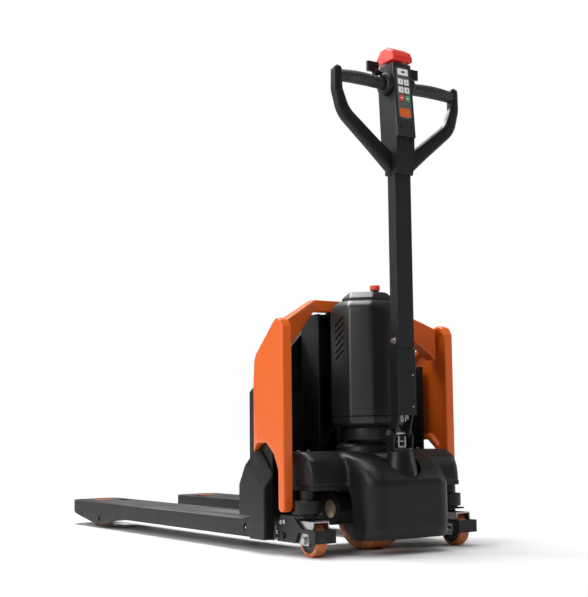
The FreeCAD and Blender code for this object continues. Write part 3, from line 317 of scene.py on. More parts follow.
# %% Fork paint
fork_paint = finish("fork paint", BLACK, 0.40, drift=0.2, grain=1300.0, depth=0.10, dust=0.35, dust_top=0.08)
FORK_TOP = high_of("fork_left")[2]
on_top = fork_paint.ramp(fork_paint.axes()[2], FORK_TOP - 0.0025, FORK_TOP - 0.0006)
scratches = fork_paint.ramp(fork_paint.noise(46.0, 9.0, (1.0, 0.06, 1.0)), 0.40, 0.66)
wear = on_top * (scratches * 0.55 + 0.22)
fork_paint.set("Base Color", fork_paint.mix(wear, fork_paint.base, (0.23, 0.235, 0.24, 1.0)))
fork_paint.set("Metallic", wear * 0.5)
fork_paint.set("Specular IOR Level", 0.25)
finishes["fork_paint"] = fork_paint

# %% [markdown]
# The control panel is a black moulding with a grey printed membrane let into it. The membrane is a rounded
# rectangle with a bowed lower end, so its edge is a distance worked out from the point's place: no texture
# and no extra sheet that the keys would have to pass through.

# %% Panel print
panel = finish("control panel", (0.012, 0.012, 0.013), 0.42, drift=0.08, grain=1500.0, depth=0.08, dust=0.0)
across, deep, up = panel.axes()
PANEL_LOW = low_of("control_panel")[2]
PRINT_HALF = 0.0215
PRINT_LOW = PANEL_LOW + 0.045
PRINT_HIGH = high_of("control_panel")[2] - 0.009
inside_x = PRINT_HALF - across.size()
bow = across * across * 14.0
inside_z = (up - bow - PRINT_LOW).least((PRINT_HIGH - 0.6 * bow) - up)
edge = inside_x.least(inside_z)
printed = panel.ramp(edge, 0.0, 0.0006)
line = panel.ramp(edge, 0.0, 0.0004) * (1 - panel.ramp(edge, 0.0009, 0.0014))
grey = panel.mix(panel.noise(200.0), (0.085, 0.087, 0.090, 1.0), (0.110, 0.112, 0.116, 1.0))
with_print = panel.mix(printed, panel.base, grey)
panel.set("Base Color", panel.mix(line, with_print, (0.012, 0.012, 0.012, 1.0)))
finishes["panel_grey"] = panel
print(len(finishes), "finishes in all")

# %% [markdown]
# Every new piece goes through one door: it gets its mesh, its finish, the body it rides on and the CAD
# nodes it stands for. Creases sharper than a given angle stay crisp, and the rest shades smoothly.

# %% Making a piece
def piece(name, vertices, faces, node, slot=None, replaces=(), crease=32.0, material=None):
    mesh = bpy.data.meshes.new(name)
    mesh.from_pydata(np.asarray(vertices, float).reshape(-1, 3), [], faces)
    mesh.validate()
    thing = bpy.data.objects.new(name, mesh)
    bpy.context.collection.objects.link(thing)
    slot = slot or slot_of[node]
    mesh.materials.append(material or finishes[slot].material)
    tidy_normals(mesh, crease)
    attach(thing, body_of[node])
    if replaces:
        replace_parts(thing, *replaces)
    return thing


def tidy_normals(mesh, crease):
    form = bmesh.new()
    form.from_mesh(mesh)
    bmesh.ops.remove_doubles(form, verts=form.verts, dist=2e-6)
    bmesh.ops.recalc_face_normals(form, faces=form.faces)
    form.to_mesh(mesh)
    form.free()
    mesh.polygons.foreach_set("use_smooth", np.ones(len(mesh.polygons), bool))
    mesh.set_sharp_from_angle(angle=math.radians(crease))


def round_edges(thing, width, segments=3, angle=28.0):
    """Bevels the edges that turn by more than an angle, then weights normals by face size."""
    bevel = thing.modifiers.new("rounded edges", "BEVEL")
    bevel.width = width
    bevel.segments = segments
    bevel.limit_method = "ANGLE"
    bevel.angle_limit = math.radians(angle)
    bevel.use_clamp_overlap = True
    weights = thing.modifiers.new("flat faces stay flat", "WEIGHTED_NORMAL")
    weights.keep_sharp = False
    thing.data.shade_smooth()
    return thing


def joined(parts):
    """Several (vertices, faces) forms as one."""
    vertices = []
    faces = []
    for points, polygons in parts:
        points = np.asarray(points, float).reshape(-1, 3)
        start = sum(len(group) for group in vertices)
        vertices.append(points)
        faces += [[start + index for index in polygon] for polygon in polygons]
    return np.concatenate(vertices), faces


# %% [markdown]
# Pressed and machined pieces already have the right shape in the frame, but with knife-sharp edges. Their
# loose triangles are merged into whole flat faces on a copy, and a bevel gives the copy the small radius
# that real edges have and that catches the light.

# %% Softened copies of designed pieces
MERGE = 2e-6
FLAT = math.radians(0.7)


def merged_form(node):
    """Whole flat faces instead of loose triangles, on a scratch copy of a node's mesh."""
    form = bmesh.new()
    form.from_mesh(frame["nodes"][node].data)
    bmesh.ops.remove_doubles(form, verts=form.verts, dist=MERGE)
    bmesh.ops.dissolve_limit(form, angle_limit=FLAT, verts=form.verts, edges=form.edges)
    form.verts.index_update()
    return form


def plain_copy(node):
    form = merged_form(node)
    vertices = [vertex.co[:] for vertex in form.verts]
    faces = [[vertex.index for vertex in face.verts] for face in form.faces]
    form.free()
    return piece(node + "_soft", vertices, faces, node, replaces=[node])


def softened(node, width, segments=3, angle=28.0):
    return round_edges(plain_copy(node), width, segments, angle)


# %% [markdown]
# Three small tools make the curved pieces. `soft_outline` rounds the corners of an outline with arcs,
# `skin` joins a stack of rings into a closed surface, and `turned` spins a profile round an axis.

# %% Outlines, skins and turned forms
def soft_outline(corners, radius, steps=6):
    """Closed outline whose corners become arcs. An arc starts radius / tan(half the inside angle) before its
    corner, round a centre that lies radius / sin(half the inside angle) along the bisector."""
    corners = np.asarray(corners, float)
    radius = np.broadcast_to(np.asarray(radius, float), len(corners))[:, None]
    back = np.roll(corners, 1, 0) - corners
    ahead = np.roll(corners, -1, 0) - corners
    back /= np.linalg.norm(back, axis=1, keepdims=True)
    ahead /= np.linalg.norm(ahead, axis=1, keepdims=True)
    half = np.arccos(np.clip((back * ahead).sum(1, keepdims=True), -0.99999, 0.99999)) / 2
    bisector = back + ahead
    bisector /= np.linalg.norm(bisector, axis=1, keepdims=True)
    centre = corners + bisector * radius / np.sin(half)
    start = corners + back * radius / np.tan(half) - centre
    stop = corners + ahead * radius / np.tan(half) - centre
    turn = math.pi - 2 * half
    t = np.linspace(0, 1, steps)[:, None, None]
    arc = centre + (np.sin((1 - t) * turn) * start + np.sin(t * turn) * stop) / np.sin(turn)
    return arc.transpose(1, 0, 2).reshape(-1, corners.shape[1])


def skin(rings, closed=False):
    """Quads between neighbouring rings, with a cap on each end unless the stack closes on itself."""
    rings = np.asarray(rings, float)
    rows, count = rings.shape[:2]
    index = np.arange(rows * count).reshape(rows, count)
    near = index if closed else index[:-1]
    far = np.roll(index, -1, 0) if closed else index[1:]
    quads = np.stack([near, np.roll(near, -1, 1), np.roll(far, -1, 1), far], -1).reshape(-1, 4)
    caps = [] if closed else [index[0][::-1].tolist(), index[-1].tolist()]
    return rings.reshape(-1, 3), quads.tolist() + caps


def turned(profile, centre, axis="z", count=64, flute=None, closed=False):
    """Rings of points (distance along the axis, radius). A flute is a function of the angle that scales the
    radius."""
    profile = np.asarray(profile, float)
    angle = np.linspace(0, 2 * math.pi, count, endpoint=False)
    scale = flute(angle) if flute else np.ones(count)
    along = np.repeat(profile[:, :1], count, 1)
    first = profile[:, 1:] * np.cos(angle) * scale
    second = profile[:, 1:] * np.sin(angle) * scale
    order = {"z": (first, second, along), "x": (along, first, second), "y": (first, along, second)}[axis]
    return skin(np.stack(order, -1) + np.asarray(centre), closed)


def lens(low, high, inset, steps=5):
    """Levels from low to high with a quarter-round at each end: (level, how far the edge is drawn in)."""
    t = np.linspace(0, math.pi / 2, steps)
    bottom = np.stack([low + inset * (1 - np.cos(t)), inset * (1 - np.sin(t))], 1)
    top = np.stack([high - inset * (1 - np.cos(t[::-1])), inset * (1 - np.sin(t[::-1]))], 1)
    return np.concatenate([bottom, top])


def slab(outline, low, high, axis, edge, steps=4):
    """A flat outline given thickness along an axis, with rounded rims: the outline shrinks towards its
    middle."""
    outline = np.asarray(outline, float)
    tangent = np.roll(outline, -1, 0) - np.roll(outline, 1, 0)
    tangent /= np.linalg.norm(tangent, axis=1, keepdims=True)
    area = (outline[:, 0] * np.roll(outline[:, 1], -1) - np.roll(outline[:, 0], -1) * outline[:, 1]).sum()
    inward = np.stack([-tangent[:, 1], tangent[:, 0]], 1) * np.sign(area)
    rings = []
    for level, inset in lens(low, high, edge, steps):
        flat = outline + inward * inset
        depth = np.full(len(flat), level)
        order = {"x": (depth, flat[:, 0], flat[:, 1]), "y": (flat[:, 0], depth, flat[:, 1]),
                 "z": (flat[:, 0], flat[:, 1], depth)}[axis]
        rings.append(np.stack(order, 1))
    return skin(rings)


# %% [markdown]
# ## Battery tower
# The tower is a tall moulding on an eight-sided plan with soft corners. Its wall runs straight up and rolls
# over at the shoulder like a quarter of an ellipse. A stack of rings gives that directly, and a second,
# smaller stack inside it makes the wall. The cooling slots are cut through both with a Boolean.

# %% Tower shell
def tower_ring(inset, z, corner=0.040, radius=0.016, steps=6):
    half = (high_of("tower_shell") - low_of("tower_shell")) / 2 - inset
    x, y = half[0], half[1]
    outline = [(x, y - corner), (x - corner, y), (corner - x, y), (-x, y - corner)]
    outline += [(-x, corner - y), (corner - x, -y), (x - corner, -y), (x, corner - y)]
    flat = soft_outline(outline, radius, steps)
    return np.stack([flat[:, 0] + TOWER[0], flat[:, 1] + TOWER[1], np.full(len(flat), z)], 1)


def shell_levels(low, shoulder, top, inset, grow, steps=9):
    """Straight wall, then a quarter-ellipse roll: inset * (1 - cos) across against (top - shoulder) * sin
    up."""
    t = np.linspace(0, math.pi / 2, steps)
    levels = [(grow, low), (grow, (low + shoulder) / 2)]
    for step in t:
        levels.append((grow + inset * (1 - math.cos(step)), shoulder + (top - shoulder) * math.sin(step)))
    return levels


WALL = 0.003
shell_low = low_of("tower_shell")[2]
shell_top = high_of("tower_shell")[2]
outer = skin([tower_ring(*level)
              for level in shell_levels(shell_low, shell_top - 0.034, shell_top, 0.026, 0.0)])
inner_levels = shell_levels(shell_low - 0.001, shell_top - 0.034, shell_top - WALL, 0.026, WALL)
inner = skin([tower_ring(*level) for level in inner_levels])


def boolean(thing, cutter_form, operation="DIFFERENCE"):
    """Cuts a piece with a scratch form, or joins it on, applies that and throws the scratch form away."""
    scratch_mesh = bpy.data.meshes.new("scratch")
    scratch_mesh.from_pydata(np.asarray(cutter_form[0]).reshape(-1, 3), [], cutter_form[1])
    tidy_normals(scratch_mesh, 30.0)
    scratch = bpy.data.objects.new("scratch", scratch_mesh)
    bpy.context.collection.objects.link(scratch)
    cut = thing.modifiers.new("cut", "BOOLEAN")
    cut.operation = operation
    cut.solver = "MANIFOLD"
    cut.object = scratch
    apply_modifiers(thing)
    bpy.data.objects.remove(scratch)


def apply_modifiers(thing):
    graph = bpy.context.evaluated_depsgraph_get()
    done = bpy.data.meshes.new_from_object(thing.evaluated_get(graph), depsgraph=graph)
    thing.modifiers.clear()
    thing.data = done


def vent_cutters():
    """Six slanted slots in each side, as rounded bars that reach through the wall."""
    bars = []
    slope = math.radians(32.0)
    outline = soft_outline([(-0.022, -0.0024), (0.022, -0.0024), (0.022, 0.0024), (-0.022, 0.0024)], 0.002, 4)
    turn = np.array([[math.cos(slope), -math.sin(slope)], [math.sin(slope), math.cos(slope)]])
    for side in (-1, 1):
        reach = sorted((side * (high_of("tower_shell")[0] - 0.012),
                        side * (high_of("tower_shell")[0] + 0.01)))
        for row in range(6):
            middle = np.array([TOWER[1], shell_top - 0.054 - 0.017 * row])
            bars.append(slab(outline @ turn + middle, *reach, "x", 0.0002, 2))
    return joined(bars)


shell = piece("tower_shell_moulding", *outer, "tower_shell", replaces=["tower_shell"])
boolean(shell, inner)
boolean(shell, vent_cutters())
tidy_normals(shell.data, 34.0)
print("tower shell", len(shell.data.polygons), "faces")

# %% [markdown]
# The base cap tucks under like the bottom of a bucket, the ring below it is a plain turned spigot, and the
# lid is a low faceted hat with a flat top. All three are ring stacks with the same plan as the shell.

# %% Base cap, lid and ring
cap_low = low_of("tower_bottom_cap")[2]
tuck = np.linspace(0, math.pi / 2, 8)
cap_rings = [tower_ring(0.001 + 0.016 * (1 - math.sin(t)), cap_low + 0.018 * (1 - math.cos(t))) for t in tuck]
cap_rings += [tower_ring(0.001, shell_low - 0.0025), tower_ring(0.0022, shell_low - 0.0008)]
piece("tower_base_cap", *skin(cap_rings), "tower_bottom_cap", replaces=["tower_bottom_cap"])

lid_high = high_of("tower_top_cap")[2]
lid_levels = [(0.022, shell_top - 0.006), (0.022, shell_top + 0.004), (0.0228, shell_top + 0.0062),
              (0.0335, lid_high - 0.0030), (0.0355, lid_high - 0.0010), (0.0385, lid_high)]
lid = piece("tower_lid", *skin([tower_ring(*level, radius=0.007) for level in lid_levels]), "tower_top_cap",
            replaces=["tower_top_cap"], crease=20.0)

ring_low, ring_high = low_of("tower_ring"), high_of("tower_ring")
ring_r = (ring_high[0] - ring_low[0]) / 2
spigot = [(z, ring_r - inset) for z, inset in lens(ring_low[2] + 0.005, ring_high[2] + 0.002, 0.004)]
foot = [(ring_low[2], 0.050), (ring_low[2] + 0.006, 0.050)]
piece("tower_spigot", *turned(foot + spigot, (TOWER[0], TOWER[1], 0), count=96), "tower_ring",
      replaces=["tower_ring"])

# %% [markdown]
# The emergency knob is moulded with grip flutes. Its radius is the turned profile times 1 + a small cosine
# of the angle, so the flutes fade where the profile does.

# %% Emergency knob
knob_box = low_of("emergency_knob"), high_of("emergency_knob")
knob_centre = ((knob_box[0] + knob_box[1]) / 2)[:2]
knob_top = knob_box[1][2]
knob_r = (knob_box[1][0] - knob_box[0][0]) / 2
head = [(z, knob_r - inset) for z, inset in lens(knob_top - 0.013, knob_top, 0.002)]
knob_head = turned(head, (*knob_centre, 0), count=120, flute=lambda a: 1 + 0.035 * np.cos(15 * a))
piece("knob_head", *knob_head, "emergency_knob", replaces=["emergency_knob"], crease=60.0)
neck = [(knob_box[0][2], 0.0078), (knob_top - 0.0168, 0.0078), (knob_top - 0.0163, 0.0098),
        (knob_top - 0.0140, 0.0098), (knob_top - 0.0135, 0.0078), (knob_top - 0.0128, 0.0078)]
STEM_HOLE = 0.0084
stem_hole = turned([(knob_box[0][2] - 0.01, STEM_HOLE), (knob_top, STEM_HOLE)], (*knob_centre, 0))
for cover in (shell, lid):
    boolean(cover, stem_hole)
    tidy_normals(cover.data, 20.0 if cover is lid else 34.0)
piece("knob_neck", *turned(neck, (*knob_centre, 0)), "emergency_knob", slot="black_moulding")

# %% [markdown]
# ## Steering case
# A domed case covers the drive neck, and a cone below the tiller covers its shaft. Both are turned forms
# with a rolled upper edge, and a tapered nose between them hides the chain.

# %% Steering case and its gusset
case_low, case_high = low_of("steering_case"), high_of("steering_case")
dome_r = case_high[0]
roll = np.linspace(0, math.pi / 2, 9)
dome = [(case_low[2], dome_r), (case_low[2] + 0.050, dome_r - 0.006), (case_high[2] - 0.018, dome_r - 0.013)]
dome += [(case_high[2] - 0.018 * (1 - math.sin(t)), dome_r - 0.013 - 0.018 * (1 - math.cos(t)))
         for t in roll[1:]]
yoke_low = low_of("tiller_yoke")[2]
cone = [(case_low[2] + 0.002, 0.0480), (case_low[2] + 0.020, 0.0465), (yoke_low - 0.012, 0.0350)]
cone += [(yoke_low - 0.001 - 0.010 * (1 - math.sin(t)), 0.0345 - 0.004 * (1 - math.cos(t))) for t in roll]


def nose_rings(low, high, wall):
    """Tapered bridge from the dome to the cone, widest at the dome, with rolled upper edges."""
    rings = []
    for z, roll_in in lens(low, high, 0.010):
        inset = roll_in + wall
        outline = [(-0.066 + inset, DRIVE[1] - 0.045), (-0.036 + inset, TILLER[1] + 0.004)]
        outline += [(0.036 - inset, TILLER[1] + 0.004), (0.066 - inset, DRIVE[1] - 0.045)]
        flat = soft_outline(outline, 0.004, 4)
        rings.append(np.stack([flat[:, 0], flat[:, 1], np.full(len(flat), z)], 1))
    return rings


case = piece("steering_case_moulding", *turned(dome, (0, DRIVE[1], 0), count=96), "steering_case",
             replaces=["steering_case"], crease=40.0)
boolean(case, turned(cone, (0, TILLER[1], 0), count=72), "UNION")
boolean(case, skin(nose_rings(case_low[2] + 0.028, yoke_low - 0.003, 0.0)), "UNION")

# %% [markdown]
# The case is a moulding 3 mm thick and open below: the drive wheel and its gearbox stand up into the dome,
# and the chain runs through the nose. So the same forms, drawn in by the wall, are cut out of it, with a
# bore in the top for the neck bearing and one for the tiller shaft.

# %% Room inside the case
CASE_WALL = 0.003
BEARING_SEAT = 0.0282
SHAFT_HOLE = 0.0124
chain_top = high_of("steering_chain")[2]
BEARING_HEIGHT = 0.012
roof = chain_top - BEARING_HEIGHT
below = case_low[2] - 0.02
dome_room = [(below, dome_r - CASE_WALL), (case_low[2], dome_r - CASE_WALL),
             (case_low[2] + 0.050, dome_r - 0.0095),
             (case_high[2] - 0.020, dome_r - 0.0165), (roof, dome_r - 0.021)]
cone_room = [(below, 0.0448), (case_low[2] + 0.020, 0.0433), (yoke_low - 0.013, 0.0318),
             (yoke_low - 0.008, 0.0300)]
boolean(case, turned(dome_room, (0, DRIVE[1], 0), count=96))
boolean(case, turned(cone_room, (0, TILLER[1], 0), count=72))
boolean(case, skin(nose_rings(case_low[2] + 0.031, yoke_low - 0.008, CASE_WALL)))
boolean(case, turned([(roof - 0.01, BEARING_SEAT), (case_high[2] + 0.02, BEARING_SEAT)], (0, DRIVE[1], 0)))
boolean(case, turned([(yoke_low - 0.02, SHAFT_HOLE), (yoke_low + 0.02, SHAFT_HOLE)], (0, TILLER[1], 0)))
tidy_normals(case.data, 40.0)


def strip(path, across, half_width, half_thick):
    """Flat strip along a path in the plane x = 0, with its width along x."""
    path = np.asarray(path, float)
    tangent = np.gradient(path, axis=0)
    tangent /= np.linalg.norm(tangent, axis=1, keepdims=True)
    side = np.stack([-tangent[:, 1], tangent[:, 0]], 1) * half_thick
    rings = []
    for sign_x, sign_n in ((-1, -1), (1, -1), (1, 1), (-1, 1)):
        yz = path + side * sign_n
        rings.append(np.stack([np.full(len(path), across + sign_x * half_width), yz[:, 0], yz[:, 1]], 1))
    return skin(np.stack(rings, 1))


def soft_path(points, radius, steps=10):
    """Open path whose inner corners are arcs: the ends stay, and the middle comes from soft_outline."""
    points = np.asarray(points, float)
    arcs = soft_outline(points, radius, steps).reshape(len(points), steps, -1)[1:-1]
    return np.concatenate([points[:1], arcs.reshape(-1, points.shape[1]), points[-1:]])


cover_top = high_of("lower_cover")[2]
gusset_path = soft_path([(TOWER[1] + 0.002, ring_high[2] + 0.002), (TOWER[1] + 0.030, ring_high[2] - 0.001),
                         (TOWER[1] + 0.092, cover_top - 0.010)], 0.014)
for side in (-1, 1):
    piece("ring_gusset_left" if side < 0 else "ring_gusset_right",
          *strip(gusset_path, side * 0.101, 0.0015, 0.0011), "tower_ring", slot="black_paint")

# %% [markdown]
# ## Bumper cover
# The bumper is one soft moulding: a deep middle bulge over the wheel and two shoulders, blended into each
# other. Drawing each blend would take many patches. Instead the bulge and the shoulders are plain ring
# stacks, a voxel remesh melts them into one skin, and smoothing rounds every meeting by the same amount.
# The skin moved inwards by the wall thickness is the inside, and clean cuts open the bottom, the back and
# the hole round the case.

# %% Bumper forms
cover_low, cover_high = low_of("lower_cover"), high_of("lower_cover")
FRONT = cover_low[1]
COVER_HALF = cover_high[0]
BULGE = 0.125
SHOULDER_Z = 0.163
SHOULDER_Y = FRONT + 0.094
BACK = cover_high[1]


def level_rings(profile, half, back, corner, steps=8):
    """Rings at the profile's heights: a rectangle from the profile's front depth to the back, corners
    rounded."""
    rings = []
    for z, front in profile:
        outline = [(-half, front), (half, front), (half, back), (-half, back)]
        flat = soft_outline(outline, [corner, corner, 0.004, 0.004], steps)
        rings.append(np.stack([flat[:, 0], flat[:, 1], np.full(len(flat), z)], 1))
    return rings


def front_line(points, count=26):
    """Front depth against height, through the given points."""
    heights, depths = np.asarray(points, float).T
    z = np.linspace(heights[0], heights[-1], count)
    return np.stack([z, np.interp(z, heights, depths)], 1)


bulge_line = front_line([(cover_low[2], FRONT + 0.012), (0.058, FRONT), (0.176, FRONT),
                         (0.202, FRONT + 0.022),
                         (0.233, FRONT + 0.066), (cover_high[2], FRONT + 0.122)])
shoulder_line = front_line([(SHOULDER_Z, SHOULDER_Y), (0.205, SHOULDER_Y + 0.006),
                            (0.228, SHOULDER_Y + 0.018),
                            (cover_high[2], SHOULDER_Y + 0.048)])
bulge = skin(level_rings(bulge_line, BULGE + 0.001, BACK, 0.044))
shoulders = skin(level_rings(shoulder_line, COVER_HALF, BACK, 0.018))
bumper = piece("bumper_cover", *joined([bulge, shoulders]), "lower_cover", replaces=["lower_cover"])


def arch_prism(outline, radii, half, steps=10):
    """Outline in the depth-height plane, carried from -half to half across the truck."""
    return slab(soft_outline(outline, radii, steps), -half, half, "x", 0.0005, 2)


# %% [markdown]
# The real cover is one moulding a few millimetres thick whose bulge flows into its shoulders. Two crossing
# forms would meet in a hard seam, so a voxel remesh melts them into one skin and smoothing rounds it. The
# same skin moved inwards gives the wall, and the openings are cut last, because smoothing would blur them.

# %% Bumper skin
def melt(thing, voxel, passes):
    """Voxel remesh, then Laplacian-style smoothing passes, applied."""
    remesh = thing.modifiers.new("melt", "REMESH")
    remesh.mode = "VOXEL"
    remesh.voxel_size = voxel
    smooth = thing.modifiers.new("soften", "SMOOTH")
    smooth.factor = 0.6
    smooth.iterations = passes
    apply_modifiers(thing)


def hollow(thing, wall):
    """Adds the same skin moved inwards along its normals and turned round, so that the form becomes a
    shell."""
    mesh = thing.data
    count = len(mesh.vertices)
    points = np.empty(count * 3)
    normals = np.empty(count * 3)
    mesh.vertices.foreach_get("co", points)
    mesh.vertex_normals.foreach_get("vector", normals)
    points = points.reshape(-1, 3)
    inside = points - normals.reshape(-1, 3) * wall
    faces = [list(face.vertices) for face in mesh.polygons]
    both = faces + [[count + index for index in face[::-1]] for face in faces]
    shell_mesh = bpy.data.meshes.new(thing.name)
    shell_mesh.from_pydata(np.concatenate([points, inside]), [], both)
    for material in mesh.materials:
        shell_mesh.materials.append(material)
    thing.data = shell_mesh


def block(x0, x1, y0, y1, z0, z1):
    """A plain box as two rings, used only as a cutter."""
    ring = np.array([(x0, y0), (x1, y0), (x1, y1), (x0, y1)])
    return skin([np.c_[ring, np.full(4, z)] for z in (z0, z1)])


COVER_WALL = 0.0036
melt(bumper, 0.0028, 30)
hollow(bumper, COVER_WALL)
wheel_bay = arch_prism([(SHOULDER_Y - 0.012, -0.02), (SHOULDER_Y - 0.012, SHOULDER_Z + 0.005),
                        (BACK + 0.05, SHOULDER_Z + 0.005), (BACK + 0.05, -0.02)],
                       [0.002, 0.055, 0.002, 0.002], 0.3)
boolean(bumper, block(-0.3, 0.3, FRONT - 0.1, 0.0, -0.02, cover_low[2] + 0.004))
boolean(bumper, wheel_bay)
for side in (-1, 1):
    ends = sorted((side * (BULGE + 0.012), side * (COVER_HALF - 0.008)))
    boolean(bumper, block(*ends, SHOULDER_Y + 0.010, BACK + 0.01, 0.12, SHOULDER_Z + 0.008))
boolean(bumper, block(-0.3, 0.3, BACK - 0.006, BACK + 0.05, 0.0, 0.3))
recess = [turned([(0.15, dome_r + 0.006), (0.30, dome_r + 0.006)], (0, DRIVE[1], 0), count=96),
          turned([(0.15, 0.0505), (0.30, 0.0505)], (0, TILLER[1], 0), count=72),
          block(-0.050, 0.050, TILLER[1], DRIVE[1], 0.15, 0.30)]
for form in recess:
    boolean(bumper, form)
bumper.data.shade_smooth()
bumper.data.set_sharp_from_angle(angle=math.radians(38.0))
print("bumper", len(bumper.data.polygons), "faces")

# %% [markdown]
# ## Painted panels, top bar and black heel covers
# These covers have broad facets that meet in soft lines. A bevel would be held back by the short edges
# round the wheel arch, so a copy of each is melted like the bumper: a fine voxel skin, smoothed until every
# edge and every line between facets is rounded by a few millimetres.

# %% Body panels
def moulded(node, voxel, passes):
    """Copy of a designed piece with all its edges rounded by remeshing and smoothing."""
    copy = plain_copy(node)
    melt(copy, voxel, passes)
    copy.data.shade_smooth()
    print(node, len(copy.data.polygons), "faces")
    return copy


for word in ("left", "right"):
    moulded("side_panel_" + word, 0.0023, 8)
    moulded("heel_cover_" + word, 0.0022, 6)
moulded("top_bar", 0.0023, 5)
softened("back_cover", 0.0030, 4)

# %% [markdown]
# ## Forks
# Each fork is a pressed channel, so its edges have the radius of the bend. A plain orange wear mark sits
# near each tip.

# %% Forks and tip marks
for word, side in (("left", -1), ("right", 1)):
    softened("fork_" + word, 0.0028, 3, angle=16.0)
    fork_high = high_of("fork_" + word)
    tip = fork_high[1]
    outline = soft_outline([(side * 0.163, tip - 0.118), (side * 0.222, tip - 0.118),
                            (side * 0.222, tip - 0.074),
                            (side * 0.163, tip - 0.074)], 0.003, 4)
    piece("tip_mark_" + word, *slab(outline, fork_high[2] - 0.0004, fork_high[2] + 0.0003, "z", 0.0001, 2),
          "fork_" + word, slot="orange_paint")

# %% [markdown]
# ## Wheels
# A tyre is a closed profile spun round its axle: a slightly crowned tread, rounded shoulders and a flat
# side that steps in to the hub. The hub is a second turned form with a dished face and a bearing in the
# middle.

# %% Tyres and hubs
def tyre_profile(half, outer_r, inner_r, shoulder):
    t = np.linspace(0, math.pi / 2, 6)
    left = [(-half + shoulder * (1 - math.sin(a)), outer_r - shoulder * (1 - math.cos(a))) for a in t[::-1]]
    crown = [(-half * 0.4, outer_r + 0.0002), (half * 0.4, outer_r + 0.0002)]
    right = [(-x, r) for x, r in left[::-1]]
    return [(-half, inner_r)] + left + crown + right + [(half, inner_r)]


def hub_profile(half, outer_r, bore):
    dish = half - 0.003
    return [(-half, outer_r), (-half, outer_r - 0.003), (-dish, outer_r - 0.005), (-dish, bore + 0.007),
            (-half, bore + 0.006), (-half, bore + 0.0003), (half, bore + 0.0003), (half, bore + 0.006),
            (dish, bore + 0.007), (dish, outer_r - 0.005), (half, outer_r - 0.003), (half, outer_r)]


def wheel(node, rim, bore, shoulder, stem):
    low, high = low_of(node), high_of(node)
    centre = (low + high) / 2
    half = (high[0] - low[0]) / 2
    radius = (high[2] - low[2]) / 2
    tread = turned(tyre_profile(half, radius - 0.0003, rim, shoulder), centre, "x", 96, closed=True)
    piece(stem + "_tyre", *tread, node, slot="polyurethane", replaces=[node], crease=40.0)
    hub = turned(hub_profile(half - 0.0008, rim, bore), centre, "x", 72, closed=True)
    piece(stem + "_hub", *hub, node, slot="hub_black", crease=25.0)


for word in ("left", "right"):
    wheel("castor_wheel_" + word, 0.031, 0.006, 0.004, "castor_" + word)
    wheel("load_wheel_" + word, 0.027, 0.008, 0.004, "load_" + word)

drive_half = (high_of("drive_tyre")[0] - low_of("drive_tyre")[0]) / 2
drive_r = (high_of("drive_tyre")[2] - low_of("drive_tyre")[2]) / 2
drive_tread = turned(tyre_profile(drive_half, drive_r - 0.0003, 0.084, 0.006), DRIVE, "x", 128, closed=True)
piece("drive_tread", *drive_tread, "drive_tyre", replaces=["drive_tyre"], crease=40.0)

# %% [markdown]
# ## Castors
# Each castor has a black pressed housing and a bright sprung fork inside it, with plated bolts. The housing
# node holds its bolts too, so the copy takes two finishes: faces of the small loose solids are plated.

# %% Castor housings and forks
def split_solids(node):
    """The node's solids as separate (vertices, faces) forms, largest first."""
    form = merged_form(node)
    unseen = set(form.verts)
    solids = []
    while unseen:
        front = [unseen.pop()]
        found = set(front)
        while front:
            for edge in front.pop().link_edges:
                for vertex in edge.verts:
                    if vertex in unseen:
                        unseen.discard(vertex)
                        found.add(vertex)
                        front.append(vertex)
        order = {vertex: place for place, vertex in enumerate(sorted(found, key=lambda v: v.index))}
        points = [vertex.co[:] for vertex in order]
        faces = [[order[v] for v in face.verts] for face in form.faces if face.verts[0] in order]
        solids.append((points, faces))
    form.free()
    return sorted(solids, key=lambda solid: -np.ptp(np.array(solid[0]), axis=0).prod())


def two_finishes(node, first_slot, rest_slot, first_width, rest_width, stem):
    solids = split_solids(node)
    main = piece(stem + "_body", *solids[0], node, slot=first_slot, replaces=[node])
    round_edges(main, first_width, 3)
    if len(solids) > 1:
        rest = piece(stem + "_fasteners", *joined(solids[1:]), node, slot=rest_slot)
        round_edges(rest, rest_width, 2)
    return main


for word in ("left", "right"):
    two_finishes("castor_housing_" + word, "castor_black", "zinc", 0.0012, 0.0006, "castor_housing_" + word)
    two_finishes("castor_fork_" + word, "zinc", "zinc", 0.0008, 0.0006, "castor_fork_" + word)

# %% [markdown]
# ## Tiller column
# The column is a square steel tube, its foot cover a close-fitting sleeve. Two rivets hold the cover, and a
# small coil spring holds the tiller upright.

# %% Column, foot cover, rivets and spring
softened("tiller_column", 0.0022, 4)
softened("tiller_foot_cover", 0.0016, 3)
sleeve_low = low_of("tiller_foot_cover")
rivet = [(0.0, 0.0022), (-0.0006, 0.0021), (-0.0012, 0.0014), (-0.0014, 0.0003)]
rivets = [turned(rivet, (0.0165, sleeve_low[1], z), "y", 20)
          for z in (sleeve_low[2] + 0.021, sleeve_low[2] + 0.098)]
piece("foot_cover_rivets", *joined(rivets), "tiller_foot_cover", slot="zinc")


def coil(start, stop, radius, wire, turns, count=260):
    """Helix of round wire: a circle carried along a curve that winds round the line from start to stop."""
    start, stop = np.asarray(start, float), np.asarray(stop, float)
    along = (stop - start) / np.linalg.norm(stop - start)
    first = np.cross(along, (1.0, 0.0, 0.0))
    first /= np.linalg.norm(first)
    second = np.cross(along, first)
    t = np.linspace(0, 1, count)[:, None]
    angle = 2 * math.pi * turns * t
    outward = first * np.cos(angle) + second * np.sin(angle)
    line = start + (stop - start) * t + outward * radius
    ring = np.linspace(0, 2 * math.pi, 8, endpoint=False)[None, :, None]
    return skin(line[:, None] + wire * (outward[:, None] * np.cos(ring) + along * np.sin(ring)))


